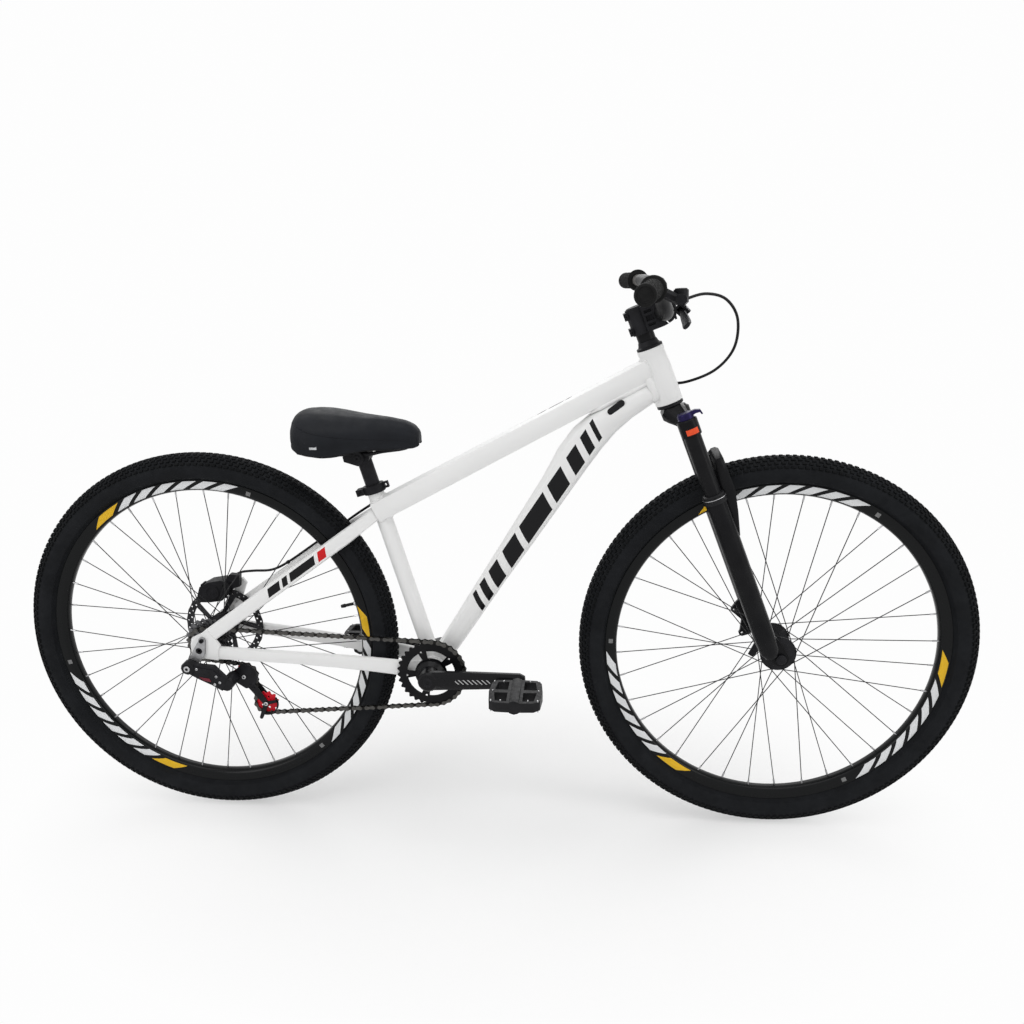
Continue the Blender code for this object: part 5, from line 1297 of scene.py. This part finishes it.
def dress_pedals():
    for side, sign in SIDES:
        carried(f"pedal_{side}", "plastic", 0.0009)
        bm = bmesh.new()
        for ahead in (-41, -24, 24, 41):
            for out in (112, 148.75, 186):
                if abs(ahead) == 24 and out == 148.75:
                    continue
                for rise in (-1, 1):
                    foot = Vector((ahead, sign * out, rise * 8.6))
                    rod(bm, foot, foot + Vector((0, 0, rise * 2.6)), 1.6, 8, 1.1)
        spot = level(place_of(f"pedal_{side}_spin"))
        piece(f"pedal_{side}_pins", bm, spot, f"pedal_{side}", "steel")


def capsule(first, second, first_r, second_r, count=10):
    """An outline round two circles and their common tangents."""
    heading = atan2(second[1] - first[1], second[0] - first[0])
    turn = heading / pi * 180
    return (arc(first, first_r, turn + 90, turn + 270, count)
            + arc(second, second_r, turn - 90, turn + 90, count))


def cage():
    """The outer plate is arms and a guard, so that the lower pulley shows; the inner plate is plain."""
    spot = level((CAGE_PIVOT.x, 0, CAGE_PIVOT.z))
    upper, lower = (((pulley.x - CAGE_PIVOT.x) / MM, (pulley.z - CAGE_PIVOT.z) / MM)
                    for pulley in (UPPER_PULLEY, LOWER_PULLEY))
    tail = (lower[0] - 12, lower[1] - 30)
    cover = (upper[0] + 1.0, upper[1] + 1.5)
    bm = plate(capsule((0, 0), cover, 10.5, 25.6, 20), -53.6, -50.6)
    join(bm, plate(capsule(upper, lower, 9.5, 5.0), -52.6, -50.4))
    join(bm, plate(capsule(upper, lower, 9.0, 9.0), -39.5, -37.5))
    join(bm, plate(capsule(lower, tail, 5.0, 3.4), -52.7, -50.3))
    join(bm, plate(arc(lower, 24.5, -112, 34, 22) + arc(lower, 21.3, 34, -112, 22), -52.5, -50.5))
    reach = polar(22.5, 14)
    join(bm, plate(capsule(lower, (lower[0] + reach[0], lower[1] + reach[1]), 3.6, 2.6), -52.5, -50.5))
    for x, z in (upper, lower):
        rod(bm, (x, -54, z), (x, -36.5, z), 2.6, 16)
    start, end = Vector((upper[0], -52.6, upper[1])), Vector((lower[0], -52.6, lower[1]))
    rib = (end - start).normalized() * 1.2
    for share in (0.3, 0.42):
        middle = start.lerp(end, share)
        rod(bm, middle - rib, middle + rib + Vector((0, -0.9, 0)), 2.4, 12)
    soften(piece("derailleur_cage_cut", bm, spot, "cage", "satin", ("derailleur_cage",)), 0.0004)


def dress_derailleur():
    carried("derailleur_body", "satin", 0.0012)
    cage()
    hanger = level((HANGER_BOLT.x, 0, HANGER_BOLT.z))
    bolts("derailleur_bolt", hanger, "derailleur", "steel", ((0, -97.8, 0), RIGHT, 6.0, 2.0, 3.0))
    face = DERAILLEUR_FACE
    panel = plate([(20, -17.5), (40, -21), (43, -27.5), (28, -25)], face - 0.9, face + 0.4)
    soften(piece("derailleur_insert", panel, hanger, "derailleur", "insert"), 0.0004)
    link = plate([(12, 3.5), (26, 0), (48, -3), (62, -16), (57, -21), (44, -12), (24, -10), (10, -5)],
                 face - 1.6, face + 0.4)
    soften(piece("derailleur_link", link, hanger, "derailleur", "satin"), 0.0006)
    screws = ((17, -1.5), (54, -16), (50, -32), (60, -28))
    bolts("derailleur_screws", hanger, "derailleur", "steel",
          *(((x, face - 1.2, z), RIGHT, 2.6, 1.4, 1.2) for x, z in screws))
    for name, centre in (("upper", UPPER_PULLEY), ("lower", LOWER_PULLEY)):
        spot = level(centre)
        holes = [ring((0, 0), 5.2, 24)] + [ring(polar(11.3, 72 * index), 2.4, 12) for index in range(5)]
        bm = drive_wheel(JOCKEY_TEETH, holes, valley_at(centre, JOCKEY_TEETH), 4.0, 0.9, 10)
        join(bm, turned([(40.2, 3.0), (40.2, 7.5), (49.8, 7.5), (49.8, 3.0)], 32, RIGHT))
        piece(f"jockey_wheel_{name}_toothed", bm, spot, f"jockey_{name}", "red", (f"jockey_wheel_{name}",))
        bolts(f"jockey_bolt_{name}", spot, "cage", "steel", ((0, -53.4, 0), RIGHT, 4.2, 2.0, 1.8))


# The rear brake and its hose

HOSE_R = 2.5
HOSE_ROUTE = (
    (916, -96, 1019), (953, -70, 1009), (978, -40, 975), (979, -10, 924), (952, 14, 884), (905, 30, 861),
    (866, 34.5, 858), (826, 31, 858), (792, 22, 856), (755, 8, 843), (700, 2, 815), (600, 0, 762),
    (500, 0, 709), (440, 4, 676), (400, 15, 654), (368, 25, 643), (338, 29, 638), (306, 36, 619),
    (262, 42, 588), (200, 50, 544), (140, 57, 502), (104, 61, 484), (66, 64.5, 480), (40, 66, 476.5),
    (24.5, 66, 469.6),
)


def dress_brake():
    carried("brake_caliper", "satin", 0.0012)
    bolts("caliper_bolts", GROUND, "frame", "steel", ((-22, 72, 446), LEFT, 4.5, 3.0, 2.3),
          ((6, 72, 446), LEFT, 4.5, 3.0, 2.3), ((36, 59.0, 456), LEFT, 3.6, 2.5, 1.8))
    bm = turned([(0, 0.4), (0, 14.5), (1.2, 14.5), (1.8, 13.8), (1.8, 11.2), (0.9, 10.6), (0.9, 4),
                 (1.8, 3.4), (1.8, 0.4)], 40, RIGHT, (-14, 39.0, 441))
    for x, z in ((10, 456), (13, 434)):
        bolt(bm, (x, 39.0, z), RIGHT, 4.0, 1.8, 1.8)
    for step in range(4):
        x = -38 + 9 * step
        rib = [(x, 452 + 2.6 * step), (x + 4, 454.5 + 2.2 * step), (x + 4, 458 + 1.6 * step),
               (x, 457 + 1.6 * step)]
        join(bm, plate(rib, 41.0, 62.0))
    soften(piece("caliper_details", bm, GROUND, "frame", "satin"), 0.0004)
    to_ground = GROUND.inverted()
    start = [to_ground @ (LEVER @ Vector(spot)) for spot in ((44.0, 58.4, 7.4), (44.5, 72.0, 7.0))]
    path = smooth_path([*start, *HOSE_ROUTE], 6.0)
    hose = piece("brake_hose_bent", swept(path, HOSE_R, 4), GROUND, None, "hose", ("brake_hose",), 60)
    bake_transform(hose)
    bm = bmesh.new()
    band = [(-2, HOSE_R + 0.2), (-2, 3.6), (2, 3.6), (2, HOSE_R + 0.2)]
    for clip in ((262, 42, 588), (140, 57, 502)):
        join(bm, turned(band, 20, (0.75, -0.1, 0.6), clip))
    piece("hose_clips", bm, GROUND, "frame", "plastic")


# The studio

CAMERA_PLACE = (0.189, -1.634, 1.085)
CAMERA_LOOK = (-0.0817, 0.9594, -0.2700)
CAMERA_RIGHT = (0.9966, 0.0811, -0.0133)
CAMERA_LENS = 32.39
BACKGROUND = 0.985
FLOOR_LIFT = 0.1


def white_floor():
    """Matt white near the bicycle, where it takes the shadow, and plain background white further out."""
    recipe = Recipe("studio_floor", (0.9, 0.9, 0.9), 0.9, gleam=0.1)
    rays = recipe.add("ShaderNodeLightPath")
    seen = recipe.math("MAXIMUM", rays.outputs["Is Camera Ray"], rays.outputs["Is Glossy Ray"])
    recipe.shader.inputs["Emission Color"].default_value = (1, 1, 1, 1)
    recipe.feed(recipe.shader.inputs["Emission Strength"], recipe.product(seen, FLOOR_LIFT))
    ahead = recipe.product(recipe.along((0, 0, 0), AHEAD), 0.62)
    aside = recipe.across()
    reach = recipe.math("ADD", recipe.product(ahead, ahead), recipe.product(aside, aside))
    reach = recipe.math("SQRT", reach)
    far = recipe.product(recipe.span(reach, 0.1, 0.6, 0.0, 1.0), seen)
    plain = recipe.add("ShaderNodeEmission")
    plain.inputs["Strength"].default_value = BACKGROUND
    blend = recipe.add("ShaderNodeMixShader")
    recipe.feed(blend.inputs[0], far)
    recipe.feed(blend.inputs[1], recipe.shader.outputs[0])
    recipe.feed(blend.inputs[2], plain.outputs[0])
    recipe.feed(recipe.tree.nodes["Material Output"].inputs["Surface"], blend.outputs[0])
    return recipe.material


def set_stage():
    scene = bpy.context.scene
    scene.view_settings.view_transform = "Standard"
    look, right = Vector(CAMERA_LOOK).normalized(), Vector(CAMERA_RIGHT).normalized()
    up = right.cross(look)
    data = bpy.data.cameras.new("studio_camera")
    data.lens = CAMERA_LENS
    data.sensor_width = 36.0
    data.clip_end = 100.0
    camera = bpy.data.objects.new("studio_camera", data)
    camera.matrix_world = Matrix.Translation(CAMERA_PLACE) @ Matrix((right, up, -look)).transposed().to_4x4()
    scene.collection.objects.link(camera)
    scene.camera = camera

    bm = bmesh.new()
    bmesh.ops.create_grid(bm, x_segments=1, y_segments=1, size=30.0)
    bmesh.ops.translate(bm, vec=(0, 0, -0.0005), verts=bm.verts)
    mesh = bpy.data.meshes.new("studio_floor")
    bm.to_mesh(mesh)
    bm.free()
    mesh.materials.append(white_floor())
    ground = bpy.data.objects.new("studio_floor", mesh)
    scene.collection.objects.link(ground)

    world = bpy.data.worlds.new("studio_world")
    scene.world = world
    world.use_nodes = True
    tree = world.node_tree
    background = tree.nodes["Background"]
    rays = tree.nodes.new("ShaderNodeLightPath")
    seen = rays.outputs["Is Camera Ray"]
    for kind in ("Is Glossy Ray", "Is Transmission Ray"):
        either = tree.nodes.new("ShaderNodeMath")
        either.operation = "MAXIMUM"
        tree.links.new(seen, either.inputs[0])
        tree.links.new(rays.outputs[kind], either.inputs[1])
        seen = either.outputs[0]
    glow = tree.nodes.new("ShaderNodeMapRange")
    glow.inputs["To Min"].default_value = 0.55
    glow.inputs["To Max"].default_value = BACKGROUND
    tree.links.new(seen, glow.inputs["Value"])
    tree.links.new(glow.outputs[0], background.inputs["Strength"])
    background.inputs["Color"].default_value = (1, 1, 1, 1)

    for name, place, size, power in (("over_light", (0.2, -0.6, 3.2), (3.4, 2.2), 31.0),
                                     ("side_light", (-2.4, -2.4, 1.9), (1.4, 1.8), 18.0),
                                     ("front_light", (2.9, -1.2, 1.6), (1.2, 1.8), 13.0),
                                     ("back_light", (0.2, 2.8, 2.2), (3.0, 1.2), 18.0)):
        lamp = bpy.data.lights.new(name, "AREA")
        lamp.shape = "RECTANGLE"
        lamp.size, lamp.size_y = size
        lamp.energy = power
        light = bpy.data.objects.new(name, lamp)
        light.location = place
        aim = Vector((0.0, 0.0, 0.45)) - Vector(place)
        light.rotation_euler = aim.to_track_quat("-Z", "Y").to_euler()
        scene.collection.objects.link(light)


# Operators

class BICYCLE_OT_set_stage(bpy.types.Operator):
    """Make the camera, the white floor, the world and the lamps"""
    bl_idname = "bicycle.set_stage"
    bl_label = "Set the stage"

    def execute(self, context):
        set_stage()
        return {"FINISHED"}


class BICYCLE_OT_mix_finishes(bpy.types.Operator):
    """Make the paints, metals, rubbers and plastics"""
    bl_idname = "bicycle.mix_finishes"
    bl_label = "Mix the finishes"

    def execute(self, context):
        mix_finishes()
        return {"FINISHED"}


class BICYCLE_OT_dress_frame(bpy.types.Operator):
    """Paint the frame's tubes and add their welds and the port plug"""
    bl_idname = "bicycle.dress_frame"
    bl_label = "Frame"

    def execute(self, context):
        dress_frame()
        return {"FINISHED"}


class BICYCLE_OT_dress_fittings(bpy.types.Operator):
    """Add the headset cups, bottom bracket, seat clamp, rear axle and hanger"""
    bl_idname = "bicycle.dress_fittings"
    bl_label = "Frame fittings"

    def execute(self, context):
        dress_fittings()
        return {"FINISHED"}


class BICYCLE_OT_dress_fork(bpy.types.Operator):
    """Add the fork's crown, tubes, seals, lowers, lockout knob and wheel skewer"""
    bl_idname = "bicycle.dress_fork"
    bl_label = "Fork"

    def execute(self, context):
        dress_fork()
        return {"FINISHED"}


class BICYCLE_OT_dress_cockpit(bpy.types.Operator):
    """Add the handlebar, grips, stem and spacer"""
    bl_idname = "bicycle.dress_cockpit"
    bl_label = "Handlebar and stem"

    def execute(self, context):
        dress_cockpit()
        return {"FINISHED"}


class BICYCLE_OT_dress_brake_lever(bpy.types.Operator):
    """Add the brake lever's body, blade, reservoir lid and bolts"""
    bl_idname = "bicycle.dress_brake_lever"
    bl_label = "Brake lever"

    def execute(self, context):
        dress_brake_lever()
        return {"FINISHED"}


class BICYCLE_OT_dress_brake(bpy.types.Operator):
    """Add the rear caliper and the hose that runs to it"""
    bl_idname = "bicycle.dress_brake"
    bl_label = "Rear brake and hose"

    def execute(self, context):
        dress_brake()
        return {"FINISHED"}


class BICYCLE_OT_dress_saddle(bpy.types.Operator):
    """Add the padded saddle, its rails and the seatpost"""
    bl_idname = "bicycle.dress_saddle"
    bl_label = "Saddle and seatpost"

    def execute(self, context):
        dress_saddle()
        return {"FINISHED"}


class BICYCLE_OT_dress_wheels(bpy.types.Operator):
    """Add the tyres, rims, spokes, hubs and the brake rotor"""
    bl_idname = "bicycle.dress_wheels"
    bl_label = "Wheels"

    def execute(self, context):
        dress_wheels()
        return {"FINISHED"}


class BICYCLE_OT_dress_drive(bpy.types.Operator):
    """Add the chain, chainring, cranks, pedals, cogs and derailleur"""
    bl_idname = "bicycle.dress_drive"
    bl_label = "Drive"

    def execute(self, context):
        dress_drive()
        return {"FINISHED"}


STEPS = (BICYCLE_OT_set_stage, BICYCLE_OT_mix_finishes, BICYCLE_OT_dress_frame, BICYCLE_OT_dress_fittings,
         BICYCLE_OT_dress_fork, BICYCLE_OT_dress_cockpit, BICYCLE_OT_dress_brake_lever,
         BICYCLE_OT_dress_brake, BICYCLE_OT_dress_saddle, BICYCLE_OT_dress_wheels, BICYCLE_OT_dress_drive)


class BICYCLE_PT_dresser(bpy.types.Panel):
    """The bicycle's sizes, colours and steps"""
    bl_idname = "BICYCLE_PT_dresser"
    bl_label = "Bicycle"
    bl_space_type = "VIEW_3D"
    bl_region_type = "UI"
    bl_category = "Bicycle"

    def draw(self, context):
        for group in (context.scene.bicycle_sizes, context.scene.bicycle_colours):
            for name in group.__annotations__:
                self.layout.prop(group, name)
        for step in STEPS:
            self.layout.operator(step.bl_idname)


CLASSES = (BicycleSizes, BicycleColours, *STEPS, BICYCLE_PT_dresser)


def register():
    for kind in CLASSES:
        bpy.utils.register_class(kind)
    bpy.types.Scene.bicycle_sizes = PointerProperty(type=BicycleSizes)
    bpy.types.Scene.bicycle_colours = PointerProperty(type=BicycleColours)


def unregister():
    del bpy.types.Scene.bicycle_sizes
    del bpy.types.Scene.bicycle_colours
    for kind in reversed(CLASSES):
        bpy.utils.unregister_class(kind)


def main():
    register()
    for step in STEPS:
        name = step.bl_idname.split(".")[1]
        getattr(bpy.ops.bicycle, name)()


if __name__ == "__main__":
    main()
